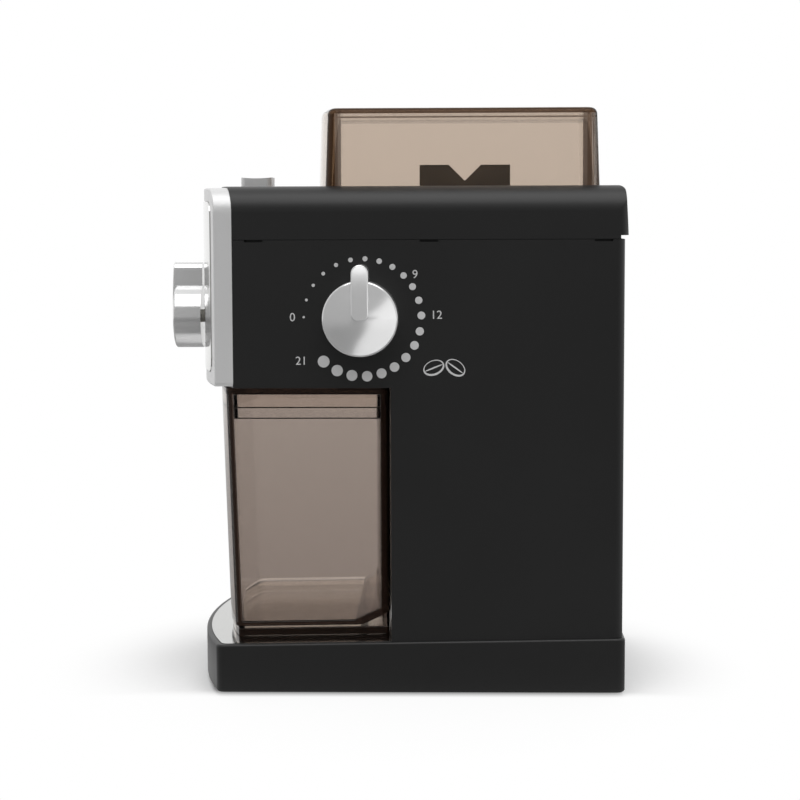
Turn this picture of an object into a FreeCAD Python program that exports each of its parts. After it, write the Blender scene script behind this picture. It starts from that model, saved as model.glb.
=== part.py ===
import FreeCAD, Part
import math
import os

# A table-top burr coffee grinder, in millimetres. While it is modelled, +Z is up, the front faces -Y, the
# grind dial is on the +X side, x = 0 is the middle of the body and y = 0 is the back wall of the container
# recess.
# On export the origin moves to the middle of the footprint.

V = FreeCAD.Vector
FAR = 400.0  # reach of cutting tools, beyond any part of the object
PAST = 1.0  # how far a cutting tool runs past the face it starts from
NEAR = 0.01  # how close a point counts as being at a place

# Body: main housing, top cover and front bezel share one outline
BODY_HALF_WIDTH = 65.0
BODY_FRONT_Y = -69.1  # joint with the bezel, at the side walls
BODY_BACK_Y = 102.2
BODY_BACK_R = 4.0
FRONT_BOW = 9.9  # how far the front swells forward at the middle
WALL = 2.5
RECESS_TOP_Z = 137.8
RECESS_BACK_Y = 0.0
SEAM_GAP = 0.2
SEAM_SLOT_LENGTH = 8.0
SEAM_SLOT_HEIGHT = 0.9
SEAM_SLOTS_Y = (-59.6, 16.9, 92.8)
COVER_TOP_Z = 225.8
COVER_HEIGHT = 23.4
COVER_EDGE_R = 11.0
COVER_BACK_Y = 103.75  # the cover leans out past the housing at the seam
COVER_BACK_LEAN = 1.4
COVER_BACK_R = 3.0
TONGUE_WALL = 1.5
TONGUE_DEPTH = 4.0
BACK_GROOVE_HEIGHT = 1.5
BACK_GROOVE_DEPTH = 2.0

# Bezel and its steel plate
BEZEL_DEPTH = 8.1
BEZEL_BOTTOM_Z = 138.4
BEZEL_TOP_Z = 225.2
BEZEL_FOOT_R = 2.0
BEZEL_EDGE_R = 0.8
PLATE_MARGIN = 6.0
PLATE_THICKNESS = 1.0
PLATE_PROUD = 0.4
PLATE_GAP = 0.35
PLATE_CORNER_R = 6.0

# Base and deck
BASE_LIP = 1.0  # how far the base stands out beyond the body at each side
BASE_FRONT_Y = -77.4
BASE_BACK_Y = 103.35
BASE_BOW = 11.0
BASE_CORNER_R = 3.5
LEAST_CORNER_R = 1.0
BASE_TOP_R = 1.0
BASE_BOTTOM_R = 1.5
BASE_FRONT_Z = 23.4  # top of the base at its front corners
DECK_SLOPE_DEG = 0.98  # the base's top rises towards the back
DECK_PLATE_THICKNESS = 0.8
DECK_PLATE_PROUD = 0.2
DECK_MARGIN = 2.0
DECK_GAP = 0.15
FOOT_HEIGHT = 2.0
FOOT_R = 7.0
FOOT_STEM_R = 3.0
FOOT_STEM_LENGTH = 3.2
FOOT_INSET_X = 20.0
FOOT_INSET_Y = 20.0
BASE_PLATE_THICKNESS = 2.2
BASE_PLATE_GAP = 0.2
BASE_SCREW_INSET_X = 32.0
BASE_SCREW_INSET_Y = 11.0
GROMMET_X = -38.0
GROMMET_Z = 13.0
GROMMET_R = 6.0
GROMMET_LIP = 2.0
GROMMET_PROUD = 0.3
CORD_BORE_R = 3.5
VENT_WIDTH = 3.0
VENT_LENGTH = 36.0
VENT_PITCH = 7.0
VENT_COUNT = 7

# Fasteners
SCREW_R = 1.5
SCREW_HEAD_R = 3.0
SCREW_HEAD_HEIGHT = 1.8
SCREW_GRIP = 10.0
BOSS_R = 4.5
FIT = 0.05  # radial gap of a fit
CLEAR = 0.3  # gap between pieces that move past each other

# Hopper lid and bean hopper
LID_HALF_WIDTH = 52.75
LID_FRONT_Y = -28.4
LID_BACK_Y = 92.4
LID_BOW = 6.2
LID_CORNER_R = 5.0
LID_TOP_Z = 260.0
LID_DRAFT = 1.55
LID_WALL = 2.5
LID_TOP_R = 3.0
LID_SEAT_DROP = 11.2  # from the cover's top down to the lid's seat
LID_GAP = 0.6
HOPPER_WALL = 2.0
HOPPER_LEDGE = 4.0
HOPPER_FLANGE = 3.0
HOPPER_CONE = 2.6  # run of the hopper's floor for each unit of rise
HOPPER_THROAT_GAP = 1.0  # from the burr carrier to the hopper's hole
HOPPER_RISE = 2.1  # from the burr carrier's top to the hopper's underside

# Grounds container and its lid
CUP_HALF_WIDTH = 52.5
CUP_FRONT_TOP_Y = -73.1
CUP_FRONT_BOTTOM_Y = -69.7
CUP_BACK_GAP = 1.0
CUP_BOW = 7.2
CUP_CORNER_R = 5.0
CUP_SIDE_WALL = 2.2
CUP_BACK_WALL = 3.6
CUP_FLOOR = 2.0
CUP_FOOT_HEIGHT = 5.0
CUP_FOOT_INSET = 3.5
CUP_FOOT_WALL = 2.5
CUP_FOOT_BACK = 0.6
CUP_FOOT_FRONT = 0.4
CUP_CHAMFER_Y = 12.0
CUP_CHAMFER_Z = 5.6
CUP_TOP_GAP = 1.2
CUP_LID_HEIGHT = 8.5
CUP_LID_TOP = 2.2
CUP_LID_PLUG = 5.4
CUP_LID_PLUG_WALL = 1.6
CUP_LID_GAP = 0.2

# Grinding works, on a vertical axis
BURR_Y = 33.0
BURR_R = 26.0
LOWER_BURR_BORE = 10.0
UPPER_BURR_BORE = 14.0
BURR_BODY = 4.0
BURR_TOOTH = 2.0
BURR_GROOVES = 20
BURR_GROOVE_WIDTH = 3.0
BURR_GROOVE_SKEW = 6.0
BURR_GROOVE_LEAN = 0.2  # where the groove's bottom lies, as a share of its half width
BURR_LAND = 3.0
BURR_REST_GAP = 0.6
CHAMBER_FLOOR_Z = 157.5
CHAMBER_FLOOR = 3.0
CHAMBER_ROOM = 8.0  # from the burrs' rim to the chamber's wall
CHAMBER_WALL = 3.0
CHAMBER_STEP_Z = 172.0
CHAMBER_SHOULDER = 2.0
CHAMBER_TOP_Z = 183.7
CHAMBER_NECK_WALL = 4.2
CARRIER_SKIRT = 3.6
CARRIER_SKIRT_GAP = 1.0
CARRIER_WALL = 3.0
CARRIER_DISC = 3.4
CARRIER_TOP_Z = 190.5
HANDLE_HALF_LENGTH = 21.0
HANDLE_THICKNESS = 3.0
HANDLE_TOP_Z = 236.0
HANDLE_NOTCH_WIDTH = 15.0
HANDLE_NOTCH_DEPTH = 7.4
HANDLE_FOOT_Z = 184.0
SWEEPER_DISC = 3.0
SWEEPER_GAP = 1.5
SWEEPER_PADDLES = 4
SWEEPER_RIM_GAP = 1.0
PADDLE_THICKNESS = 4.0
PADDLE_RISE = 2.0
SHAFT_END = 2.0  # how far a shaft stands past its last bearing or nut
BURR_SHAFT_R = 4.0
BUSH_R = 7.0
BUSH_FLANGE_R = 9.0
BUSH_FLANGE = 1.6
NUT_R = 7.5
NUT_HEIGHT = 4.2
NUT_FLANGE = 1.3
BURR_SCREW_CIRCLE = 20.0

# Adjuster: dial pinion, double rack and ring
GEAR_MODULE = 1.0
GEAR_PRESSURE_DEG = 25.0
GEAR_ADDENDUM = 0.8
GEAR_DEDENDUM = 1.15
GEAR_THINNING = 0.22  # taken off each tooth, for backlash
PINION_TEETH = 12
RING_HEIGHT = 5.5
RING_LIP = 0.55
RING_SKIRT = 4.0
RING_SKIRT_WALL = 2.9
RING_SECTOR_DEG = (-37.0, 20.0)
LUG_COUNT = 3
LUG_WIDTH = 8.0
LUG_HEIGHT = 3.0
LUG_REACH = 3.0
LUG_RISE = 1.3  # from the ring's underside to the lugs
RACK_THICKNESS = 6.0
RACK_FLANGE = 4.7
RACK_PINION_SPAN = (-42.0, 3.0)  # the rack's lower teeth, from the dial's axis at y = DIAL_Y
RACK_RING_SPAN = (4.0, 49.0)
RACK_RIB = 2.4
RACK_RIB_HEIGHT = 3.0
RACK_RIB_Z = 180.0
GUIDE_MARGIN = 2.0
GUIDE_DEPTH = 6.0  # least depth of the rail, from the wall
GUIDE_SPAN = (-56.0, 76.0)
RACK_GAP_X = 4.0  # from the ring's pitch circle to the rack's plate
DIAL_SHAFT_R = 4.0
PINION_OVERLAP = 1.0  # how far a pinion stands past its mate at each end

# Knobs
DIAL_Y = -12.8
DIAL_Z = 168.7
DIAL_R = 16.4
DIAL_DEPTH = 15.0
DIAL_TIP = 23.3
KNOB_Z = 166.15
KNOB_R = 14.8
KNOB_FRONT_Y = -103.75
KNOB_TIP = 25.1
KNOB_GAP = 1.95
DIAL_GAP = 0.4
BAR_WIDTH = 7.5
BAR_PROUD = 0.5
BAR_HEEL = 0.7
BAR_HEEL_R = 2.4
BAR_STANDOFF = 0.2
BAR_CROWN_R = 300.0
BAR_CROWN_AT = 3.4  # the bar's highest point, from the axis
BAR_EDGE_R = 0.5
DOME_R = 100.0
KNOB_EDGE_R = 0.9
TIMER_SHAFT_R = 3.0
SHAFT_GRIP = 9.0

# Start button and switch
BUTTON_Y = -63.4
BUTTON_LENGTH = 14.1
BUTTON_WIDTH = 20.0
BUTTON_CORNER_R = 2.6
BUTTON_TOP_Z = 230.5
BUTTON_DISH_R = 60.0
BUTTON_DISH = 0.5
BUTTON_FLANGE = 1.2
BUTTON_FLANGE_HEIGHT = 2.0
BUTTON_GAP = 0.3
BUTTON_TRAVEL = 2.4
BUTTON_STEM_R = 3.0
COLLAR_WALL = 1.8
COLLAR_BOTTOM_Z = 211.0
SWITCH_HEIGHT = 11.0
SWITCH_FLANGE = 1.5
SPRING_COIL_R = 5.0
SPRING_WIRE_R = 0.4
SPRING_TURNS = 4

# Motor and gear train
MOTOR_Y = 66.0
CHASSIS_Z = 124.0  # top of the housing's columns
CHASSIS_THICKNESS = 4.0
CHASSIS_GAP = 0.7
COLUMN_R = 5.5
COLUMN_INSET_X = 5.0
COLUMN_INSET_Y = 7.5
MOUNT_HEIGHT = 6.0
MOUNT_INSET = 4.0
MOTOR_R = 26.0
MOTOR_WALL = 1.5
MOTOR_LENGTH = 64.0
END_CAP = 4.0
END_CAP_SPIGOT = 3.0
BRUSH_REACH = 12.0
BRUSH_LENGTH = 9.0
BRUSH_WIDTH = 6.0
BRUSH_HEIGHT = 7.0
CAN_VENT_WIDTH = 10.0
CAN_VENT_HEIGHT = 5.0
CAN_VENTS = 4
MOTOR_SHAFT_R = 2.5
MAGNET_THICKNESS = 4.4
MAGNET_LENGTH = 46.0
MAGNET_SPAN_DEG = 130.0
ARMATURE_R = 18.8
ARMATURE_LENGTH = 42.0
ARMATURE_SLOTS = 12
ARMATURE_SLOT_DEPTH = 6.0
ARMATURE_SLOT_WIDTH = 2.4
COMMUTATOR_R = 7.0
COMMUTATOR_LENGTH = 6.0
FAN_R = 22.0
FAN_HEIGHT = 9.0
FAN_BLADES = 9
FAN_SHEET = 1.5
FAN_GAP = 1.0
DRIVE_TEETH = 54
GEAR_Z = 134.0
GEAR_HEIGHT = 8.0
GEAR_RIM = 4.0
GEAR_DISH = 2.0
GEAR_HUB_STAND = 2.0
LEG_R = 4.5
LEG_CIRCLE = 35.6

# Chute from the chamber to the container
CHUTE_HALF_WIDTH = 11.0
CHUTE_FRONT_Y = -26.0
CHUTE_BACK_Y = -5.2
CHUTE_WALL = 2.0
CHUTE_FLANGE = 3.5
WINDOW_HEIGHT = 10.0

# Control board
BOARD_HALF_WIDTH = 46.0
BOARD_FRONT_Y = -68.0
BOARD_BACK_Y = -33.0
BOARD_THICKNESS = 1.6
BOARD_STANDOFF = 4.5
TIMER_HALF_WIDTH = 17.0
TIMER_DEPTH = 18.0
TIMER_NECK_R = 5.0
TIMER_SHAFT_SHORT = 5.0  # how far the shaft stops short of the module's back
TIMER_SETBACK = 2.0
BOARD_POST_INSET = 4.0
RELAY = (-38.0, -22.0, -58.0, -44.0, 15.0)  # x from and to, y from and to, height
CHOKE = (28.0, -54.0, 7.0, 9.0)  # x, y, radius, height
CAPACITOR = (28.0, -40.0, 4.0, 14.0)

# Sizes that follow from those above
BODY_INNER_X = BODY_HALF_WIDTH - WALL
BASE_HALF_WIDTH = BODY_HALF_WIDTH + BASE_LIP
BEZEL_FRONT_Y = BODY_FRONT_Y - BEZEL_DEPTH
SEAM_Z = COVER_TOP_Z - COVER_HEIGHT
COVER_BOTTOM_Z = SEAM_Z + SEAM_GAP
COVER_CEILING_Z = COVER_TOP_Z - WALL
LID_SEAT_Z = COVER_TOP_Z - LID_SEAT_DROP
RECESS_CEILING_Z = RECESS_TOP_Z + WALL
DIAL_BACK_X = BODY_HALF_WIDTH + DIAL_GAP
DIAL_FACE_X = DIAL_BACK_X + DIAL_DEPTH
PLATE_FRONT_Y = BEZEL_FRONT_Y - PLATE_PROUD
KNOB_BACK_Y = PLATE_FRONT_Y - FRONT_BOW - KNOB_GAP
CUP_BACK_Y = RECESS_BACK_Y - CUP_BACK_GAP
CUP_TOP_Z = RECESS_TOP_Z - CUP_TOP_GAP
CUP_RIM_Z = CUP_TOP_Z - CUP_LID_HEIGHT
CHASSIS_TOP_Z = CHASSIS_Z + CHASSIS_THICKNESS
MOTOR_TOP_Z = CHASSIS_Z - MOUNT_HEIGHT
MOTOR_BOTTOM_Z = MOTOR_TOP_Z - MOTOR_LENGTH
CHAMBER_INNER_Z = CHAMBER_FLOOR_Z + CHAMBER_FLOOR
SWEEPER_Z = CHAMBER_INNER_Z + SWEEPER_GAP
LOWER_BURR_Z = SWEEPER_Z + SWEEPER_DISC
LOWER_TEETH_Z = LOWER_BURR_Z + BURR_BODY + BURR_TOOTH
UPPER_BURR_Z = LOWER_TEETH_Z + BURR_REST_GAP
CARRIER_DISC_Z = UPPER_BURR_Z + BURR_TOOTH + BURR_BODY
CHAMBER_R = BURR_R + CHAMBER_ROOM
CARRIER_R = BURR_R + CARRIER_SKIRT_GAP + CARRIER_WALL
NECK_R = CARRIER_R + CLEAR + CHAMBER_NECK_WALL
RING_R = NECK_R + FIT + RING_SKIRT_WALL + RING_LIP
RING_Z = CHAMBER_TOP_Z + CLEAR
RING_ROOM = BODY_INNER_X - GUIDE_DEPTH - CLEAR - RACK_THICKNESS - RACK_GAP_X
RING_SECTOR_TEETH = math.floor(2 * RING_ROOM / GEAR_MODULE)  # teeth of the circle that the sector is cut from
RING_PITCH_R = RING_SECTOR_TEETH * GEAR_MODULE / 2
PINION_PITCH_R = PINION_TEETH * GEAR_MODULE / 2
DRIVE_PITCH_R = DRIVE_TEETH * GEAR_MODULE / 2
RACK_LINE_Z = DIAL_Z + PINION_PITCH_R
RACK_X = RING_PITCH_R + RACK_GAP_X
RACK_BACK_X = RACK_X + RACK_THICKNESS
HOPPER_HOLE_R = CARRIER_R + HOPPER_THROAT_GAP
HOPPER_FLOOR_Z = CARRIER_TOP_Z + HOPPER_RISE
ORIGIN = V((DIAL_FACE_X - BASE_HALF_WIDTH) / 2, (KNOB_FRONT_Y + COVER_BACK_Y) / 2, 0)


# Plain solids

def box(x0, x1, y0, y1, z0, z1):
    return Part.makeBox(x1 - x0, y1 - y0, z1 - z0, V(x0, y0, z0))


def rod(radius, z0, z1, x=0.0, y=0.0):
    return Part.makeCylinder(radius, z1 - z0, V(x, y, z0))


def rod_x(radius, x0, x1, y, z):
    return Part.makeCylinder(radius, x1 - x0, V(x0, y, z), V(1, 0, 0))


def rod_y(radius, y0, y1, x, z):
    return Part.makeCylinder(radius, y1 - y0, V(x, y0, z), V(0, 1, 0))


def polygon(points):
    return Part.Face(Part.makePolygon(points + points[:1]))


def turned(profile, y):
    """A solid turned about the vertical axis at (0, y) from (radius, height) corners."""
    face = polygon([V(r, y, z) for r, z in profile])
    return face.revolve(V(0, y, 0), V(0, 0, 1), 360)


def fuse(shapes):
    return shapes[0].multiFuse(shapes[1:]).removeSplitter()


def cut(shape, tools):
    return shape.cut(tools).removeSplitter()


def upright_edges(shape, places):
    """Straight edges that run upwards from one of the given (x, y) places, with any draft."""
    found = []
    for edge in shape.Edges:
        ends = [v.Point for v in edge.Vertexes]
        if len(ends) != 2 or abs(ends[0].z - ends[1].z) < 1:
            continue
        low = min(ends, key=lambda p: p.z)
        if any(math.hypot(low.x - x, low.y - y) < NEAR for x, y in places):
            found.append(edge)
    return found


def bowed_outline(half_width, front_y, back_y, bow, z):
    """A plan outline with straight sides and back, and a front that swells forward."""
    left_back, right_back = V(-half_width, back_y, z), V(half_width, back_y, z)
    left_front, right_front = V(-half_width, front_y, z), V(half_width, front_y, z)
    front = Part.Arc(right_front, V(0, front_y - bow, z), left_front).toShape()
    runs = [(left_back, right_back), (right_back, right_front)]
    edges = [Part.LineSegment(a, b).toShape() for a, b in runs]
    edges += [front, Part.LineSegment(left_front, left_back).toShape()]
    return Part.Wire(edges)


def bowed_block(half_width, front_y, back_y, bow, z0, z1, front_r=0.0, back_r=0.0):
    """A straight prism on a bowed outline, with rounded upright corners."""
    solid = Part.Face(bowed_outline(half_width, front_y, back_y, bow, z0)).extrude(V(0, 0, z1 - z0))
    for radius, y in ((front_r, front_y), (back_r, back_y)):
        if radius > 0:
            solid = solid.makeFillet(radius, upright_edges(solid, [(half_width, y), (-half_width, y)]))
    return solid


def tapered_block(low, high, z0, z1, corner_r):
    """A drafted prism between two bowed outlines, each (half_width, front_y, back_y, bow)."""
    solid = Part.makeLoft([bowed_outline(*low, z0), bowed_outline(*high, z1)], True, True)
    half_width, front_y, back_y = low[:3]
    corners = [(x, y) for x in (half_width, -half_width) for y in (front_y, back_y)]
    return solid.makeFillet(corner_r, upright_edges(solid, corners))


def arched_block(half_width, z0, z1, top_r, foot_r, y0, y1):
    """A prism along Y whose section has rounded top corners and, if foot_r is set, rounded bottom ones."""
    solid = box(-half_width, half_width, y0, y1, z0, z1)
    for radius, z in ((top_r, z1), (foot_r, z0)):
        if radius > 0:
            along = [e for e in solid.Edges if is_along_y(e, half_width, z)]
            solid = solid.makeFillet(radius, along)
    return solid


def is_along_y(edge, half_width, z):
    a, b = (v.Point for v in edge.Vertexes)
    on_side = all(abs(p.z - z) < NEAR and abs(abs(p.x) - half_width) < NEAR for p in (a, b))
    return on_side and abs(a.y - b.y) > 1


def deck_z(y):
    return BASE_FRONT_Z + math.tan(math.radians(DECK_SLOPE_DEG)) * (y - BASE_FRONT_Y)


def deck_side(offset, far_z):
    """Everything between a plane parallel to the base's sloping top and a far level."""
    low, high = deck_z(-FAR) + offset, deck_z(FAR) + offset
    corners = [V(-FAR, -FAR, low), V(-FAR, FAR, high), V(-FAR, FAR, far_z), V(-FAR, -FAR, far_z)]
    return polygon(corners).extrude(V(2 * FAR, 0, 0))


def above_deck(offset):
    return deck_side(offset, FAR)


def below_deck(offset):
    return deck_side(offset, -FAR)


# Toothed shapes

def involute(angle):
    return math.tan(angle) - angle


def gear_face(teeth, first_deg):
    """A gear's outline with one tooth centred at first_deg; its flanks are arcs on the involute."""
    pressure = math.radians(GEAR_PRESSURE_DEG)
    pitch_r = teeth * GEAR_MODULE / 2
    base_r = pitch_r * math.cos(pressure)
    root_r = pitch_r - GEAR_DEDENDUM * GEAR_MODULE
    tip_r = pitch_r + GEAR_ADDENDUM * GEAR_MODULE
    half_pitch = (math.pi * GEAR_MODULE / 2 - GEAR_THINNING) / 2 / pitch_r
    start_r = max(base_r, root_r)

    def half_angle(radius):
        return half_pitch + involute(pressure) - involute(math.acos(min(1.0, base_r / radius)))

    def at(radius, angle):
        return V(radius * math.cos(angle), radius * math.sin(angle), 0)

    edges = []
    corners = []
    radii = (start_r, (start_r + tip_r) / 2, tip_r)
    for i in range(teeth):
        centre = math.radians(first_deg) + 2 * math.pi * i / teeth
        rise = [at(r, centre - half_angle(r)) for r in radii]
        fall = [at(r, centre + half_angle(r)) for r in reversed(radii)]
        land = Part.LineSegment(rise[-1], fall[0])
        edges += [curve.toShape() for curve in (Part.Arc(*rise), land, Part.Arc(*fall))]
        way_in, way_out = [rise[0]], [fall[-1]]
        if start_r > root_r:
            way_in.insert(0, at(root_r, centre - half_angle(start_r)))
            way_out.append(at(root_r, centre + half_angle(start_r)))
        corners.append((way_in, way_out))
    for i in range(teeth):
        valley = corners[i][1] + corners[(i + 1) % teeth][0]
        edges += [Part.LineSegment(a, b).toShape() for a, b in zip(valley, valley[1:])]
    return Part.Face(Part.Wire(Part.__sortEdges__(edges)))


def rack_points(start, end, gap_at):
    """Corners (along, height) of rack teeth between two places, with a gap centred at gap_at."""
    pitch = math.pi * GEAR_MODULE
    lean = math.tan(math.radians(GEAR_PRESSURE_DEG)) * GEAR_MODULE
    half = (pitch / 2 - GEAR_THINNING) / 2
    tip = half - GEAR_ADDENDUM * lean
    root = half + GEAR_DEDENDUM * lean
    first = math.ceil((start + root - gap_at) / pitch - 0.5)
    last = math.floor((end - root - gap_at) / pitch - 0.5)
    corners = [(start, -GEAR_DEDENDUM * GEAR_MODULE)]
    for i in range(first, last + 1):
        middle = gap_at + (i + 0.5) * pitch
        corners.append((middle - root, -GEAR_DEDENDUM * GEAR_MODULE))
        corners.append((middle - tip, GEAR_ADDENDUM * GEAR_MODULE))
        corners.append((middle + tip, GEAR_ADDENDUM * GEAR_MODULE))
        corners.append((middle + root, -GEAR_DEDENDUM * GEAR_MODULE))
    return corners + [(end, -GEAR_DEDENDUM * GEAR_MODULE)]


def toward_x(shape, x, y, z):
    """Stands a shape made on +Z along +X, with its +Y pointing up."""
    return placed(shape, FreeCAD.Matrix(0, 0, 1, x, 1, 0, 0, y, 0, 1, 0, z, 0, 0, 0, 1))


def toward_front(shape, x, y, z):
    """Stands a shape made on +Z along -Y, with its +Y pointing up."""
    return placed(shape, FreeCAD.Matrix(1, 0, 0, x, 0, 0, -1, y, 0, 1, 0, z, 0, 0, 0, 1))


def placed(shape, matrix):
    copy = shape.copy()
    copy.Placement = FreeCAD.Placement(matrix)
    return copy


# Base

def base_block(inset, z0, z1):
    radius = max(BASE_CORNER_R - inset, LEAST_CORNER_R)
    return bowed_block(BASE_HALF_WIDTH - inset, BASE_FRONT_Y + inset, BASE_BACK_Y - inset, BASE_BOW, z0, z1,
                       radius, radius)


def deck_block(gap):
    inset = DECK_MARGIN + gap
    return bowed_block(BASE_HALF_WIDTH - inset, BASE_FRONT_Y + inset, RECESS_BACK_Y - gap, BASE_BOW, 0, FAR,
                       BASE_CORNER_R)


def corner_places(x, front_y, back_y):
    return [(sx * x, y) for sx in (-1, 1) for y in (front_y, back_y)]


def base_screw_places():
    return corner_places(BASE_HALF_WIDTH - BASE_SCREW_INSET_X, BASE_FRONT_Y + BASE_SCREW_INSET_Y,
                         BASE_BACK_Y - BASE_SCREW_INSET_Y)


def foot_places():
    return corner_places(BASE_HALF_WIDTH - FOOT_INSET_X, BASE_FRONT_Y + FOOT_INSET_Y,
                         BASE_BACK_Y - FOOT_INSET_Y)


def column_places():
    return corner_places(BODY_INNER_X - COLUMN_INSET_X, RECESS_BACK_Y + COLUMN_INSET_Y + WALL,
                         BODY_BACK_Y - WALL - COLUMN_INSET_Y)


BASE_PLATE_TOP_Z = FOOT_HEIGHT + BASE_PLATE_THICKNESS


def base_shell():
    outer = base_block(0, FOOT_HEIGHT, BASE_FRONT_Z * 2).common(below_deck(0))
    on_deck = [e for e in outer.Edges if all(abs(v.Z - deck_z(v.Y)) < NEAR for v in e.Vertexes)]
    outer = outer.makeFillet(BASE_TOP_R, on_deck)
    on_floor = [e for e in outer.Edges if all(abs(v.Z - FOOT_HEIGHT) < NEAR for v in e.Vertexes)]
    outer = outer.makeFillet(BASE_BOTTOM_R, on_floor)
    hollow = base_block(WALL, -FAR, FAR).common(below_deck(-WALL))
    shell = outer.cut(hollow)
    bosses = [rod(BOSS_R, BASE_PLATE_TOP_Z, BASE_FRONT_Z * 2, x, y).common(below_deck(-WALL / 2))
              for x, y in base_screw_places()]
    shell = fuse([shell] + bosses)
    pilots = [rod(SCREW_R + FIT, 0, BASE_PLATE_TOP_Z + SCREW_GRIP, x, y) for x, y in base_screw_places()]
    through = [rod(SCREW_R + FIT, 0, FAR, x, y) for x, y in column_places()]
    pocket = deck_block(0).common(above_deck(DECK_PLATE_PROUD - DECK_PLATE_THICKNESS))
    gland = rod_y(GROMMET_R + FIT, BASE_BACK_Y - 2 * WALL, FAR, GROMMET_X, GROMMET_Z)
    return cut(shell, pilots + through + [pocket, gland])


def base_plate():
    plate = base_block(WALL + BASE_PLATE_GAP, FOOT_HEIGHT, BASE_PLATE_TOP_Z)
    holes = [rod(FOOT_STEM_R + FIT, 0, FAR, x, y) for x, y in foot_places()]
    holes += [rod(SCREW_R + FIT, 0, FAR, x, y) for x, y in base_screw_places()]
    head_top_z = FOOT_HEIGHT + SCREW_HEAD_HEIGHT
    holes += [rod(SCREW_HEAD_R + FIT, 0, head_top_z, x, y) for x, y in base_screw_places()]
    for i in range(VENT_COUNT):
        x = (i - (VENT_COUNT - 1) / 2) * VENT_PITCH
        holes.append(box(x - VENT_WIDTH / 2, x + VENT_WIDTH / 2, MOTOR_Y - VENT_LENGTH / 2,
                         MOTOR_Y + VENT_LENGTH / 2, 0, FAR))
    return cut(plate, holes)


def rubber_feet():
    feet = []
    for x, y in foot_places():
        pad = rod(FOOT_R, 0, FOOT_HEIGHT, x, y)
        stem = rod(FOOT_STEM_R, FOOT_HEIGHT, FOOT_HEIGHT + FOOT_STEM_LENGTH, x, y)
        feet.append(fuse([pad, stem]))
    return Part.Compound(feet)


def screw_up(x, y, head_z, grip):
    """A screw driven upwards, its head just below head_z."""
    head = rod(SCREW_HEAD_R, head_z - SCREW_HEAD_HEIGHT, head_z, x, y)
    return fuse([head, rod(SCREW_R, head_z, head_z + grip, x, y)])


def base_screws():
    head_z = FOOT_HEIGHT + SCREW_HEAD_HEIGHT
    return Part.Compound([screw_up(x, y, head_z, SCREW_GRIP) for x, y in base_screw_places()])


def housing_screws():
    return Part.Compound([screw_up(x, y, deck_z(y - SCREW_HEAD_R) - WALL, SCREW_GRIP + WALL)
                          for x, y in column_places()])


def deck_plate():
    plate = deck_block(DECK_GAP).common(above_deck(DECK_PLATE_PROUD - DECK_PLATE_THICKNESS))
    return plate.common(below_deck(DECK_PLATE_PROUD)).removeSplitter()


def cord_grommet():
    wall_y = BASE_BACK_Y - WALL
    inner_lip = rod_y(GROMMET_R + GROMMET_LIP, wall_y - GROMMET_LIP, wall_y, GROMMET_X, GROMMET_Z)
    sleeve = rod_y(GROMMET_R, wall_y, BASE_BACK_Y + GROMMET_PROUD, GROMMET_X, GROMMET_Z)
    return cut(fuse([inner_lip, sleeve]), [rod_y(CORD_BORE_R, -FAR, FAR, GROMMET_X, GROMMET_Z)])


# Housing, cover and bezel

def body_block(inset, back_y, z0, z1, back_r):
    return bowed_block(BODY_HALF_WIDTH - inset, BODY_FRONT_Y, back_y - inset, FRONT_BOW, z0, z1, 0, back_r)


def chute_hole(gap, z0, z1):
    x = CHUTE_HALF_WIDTH + gap
    return box(-x, x, CHUTE_FRONT_Y - gap, CHUTE_BACK_Y + gap, z0, z1)


def board_posts():
    inset = BOARD_POST_INSET
    return corner_places(BOARD_HALF_WIDTH - inset, BOARD_FRONT_Y + inset, BOARD_BACK_Y - inset)


def main_housing():
    outer = body_block(0, BODY_BACK_Y, 0, SEAM_Z, BODY_BACK_R).common(above_deck(0))
    outer = outer.cut(box(-FAR, FAR, -FAR, RECESS_BACK_Y, -FAR, RECESS_TOP_Z))
    hollow = box(-BODY_INNER_X, BODY_INNER_X, -FAR, BODY_BACK_Y - WALL, -FAR, FAR)
    hollow = hollow.cut(box(-FAR, FAR, -FAR, RECESS_BACK_Y + WALL, -FAR, RECESS_CEILING_Z))
    shell = outer.cut(hollow)
    columns = [rod(COLUMN_R, 0, CHASSIS_Z, x, y).common(above_deck(0)) for x, y in column_places()]
    board_z = RECESS_CEILING_Z + BOARD_STANDOFF
    columns += [rod(BOSS_R, RECESS_TOP_Z + WALL / 2, board_z, x, y) for x, y in board_posts()]
    shell = fuse([shell] + columns)
    bores = [rod(SCREW_R + FIT, 0, deck_z(y) + SCREW_GRIP + WALL, x, y) for x, y in column_places()]
    bores += [rod(SCREW_R + FIT, CHASSIS_Z - SCREW_GRIP, FAR, x, y) for x, y in column_places()]
    bores += [rod(SCREW_R + FIT, board_z - BOARD_STANDOFF, FAR, x, y) for x, y in board_posts()]
    bores.append(rod_x(BUSH_R + FIT, BODY_INNER_X - PAST, FAR, DIAL_Y, DIAL_Z))
    bores.append(chute_hole(CLEAR, RECESS_TOP_Z - PAST, RECESS_CEILING_Z + PAST))
    for y in SEAM_SLOTS_Y:
        bores.append(box(-FAR, FAR, y - SEAM_SLOT_LENGTH / 2, y + SEAM_SLOT_LENGTH / 2,
                         SEAM_Z - SEAM_SLOT_HEIGHT, FAR))
    return cut(shell, bores)


def lid_block(offset, z0, z1):
    """A straight prism on the hopper lid's outline, grown by an offset."""
    radius = LID_CORNER_R + offset
    return bowed_block(LID_HALF_WIDTH + offset, LID_FRONT_Y - offset, LID_BACK_Y + offset, LID_BOW, z0, z1,
                       radius, radius)


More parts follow.
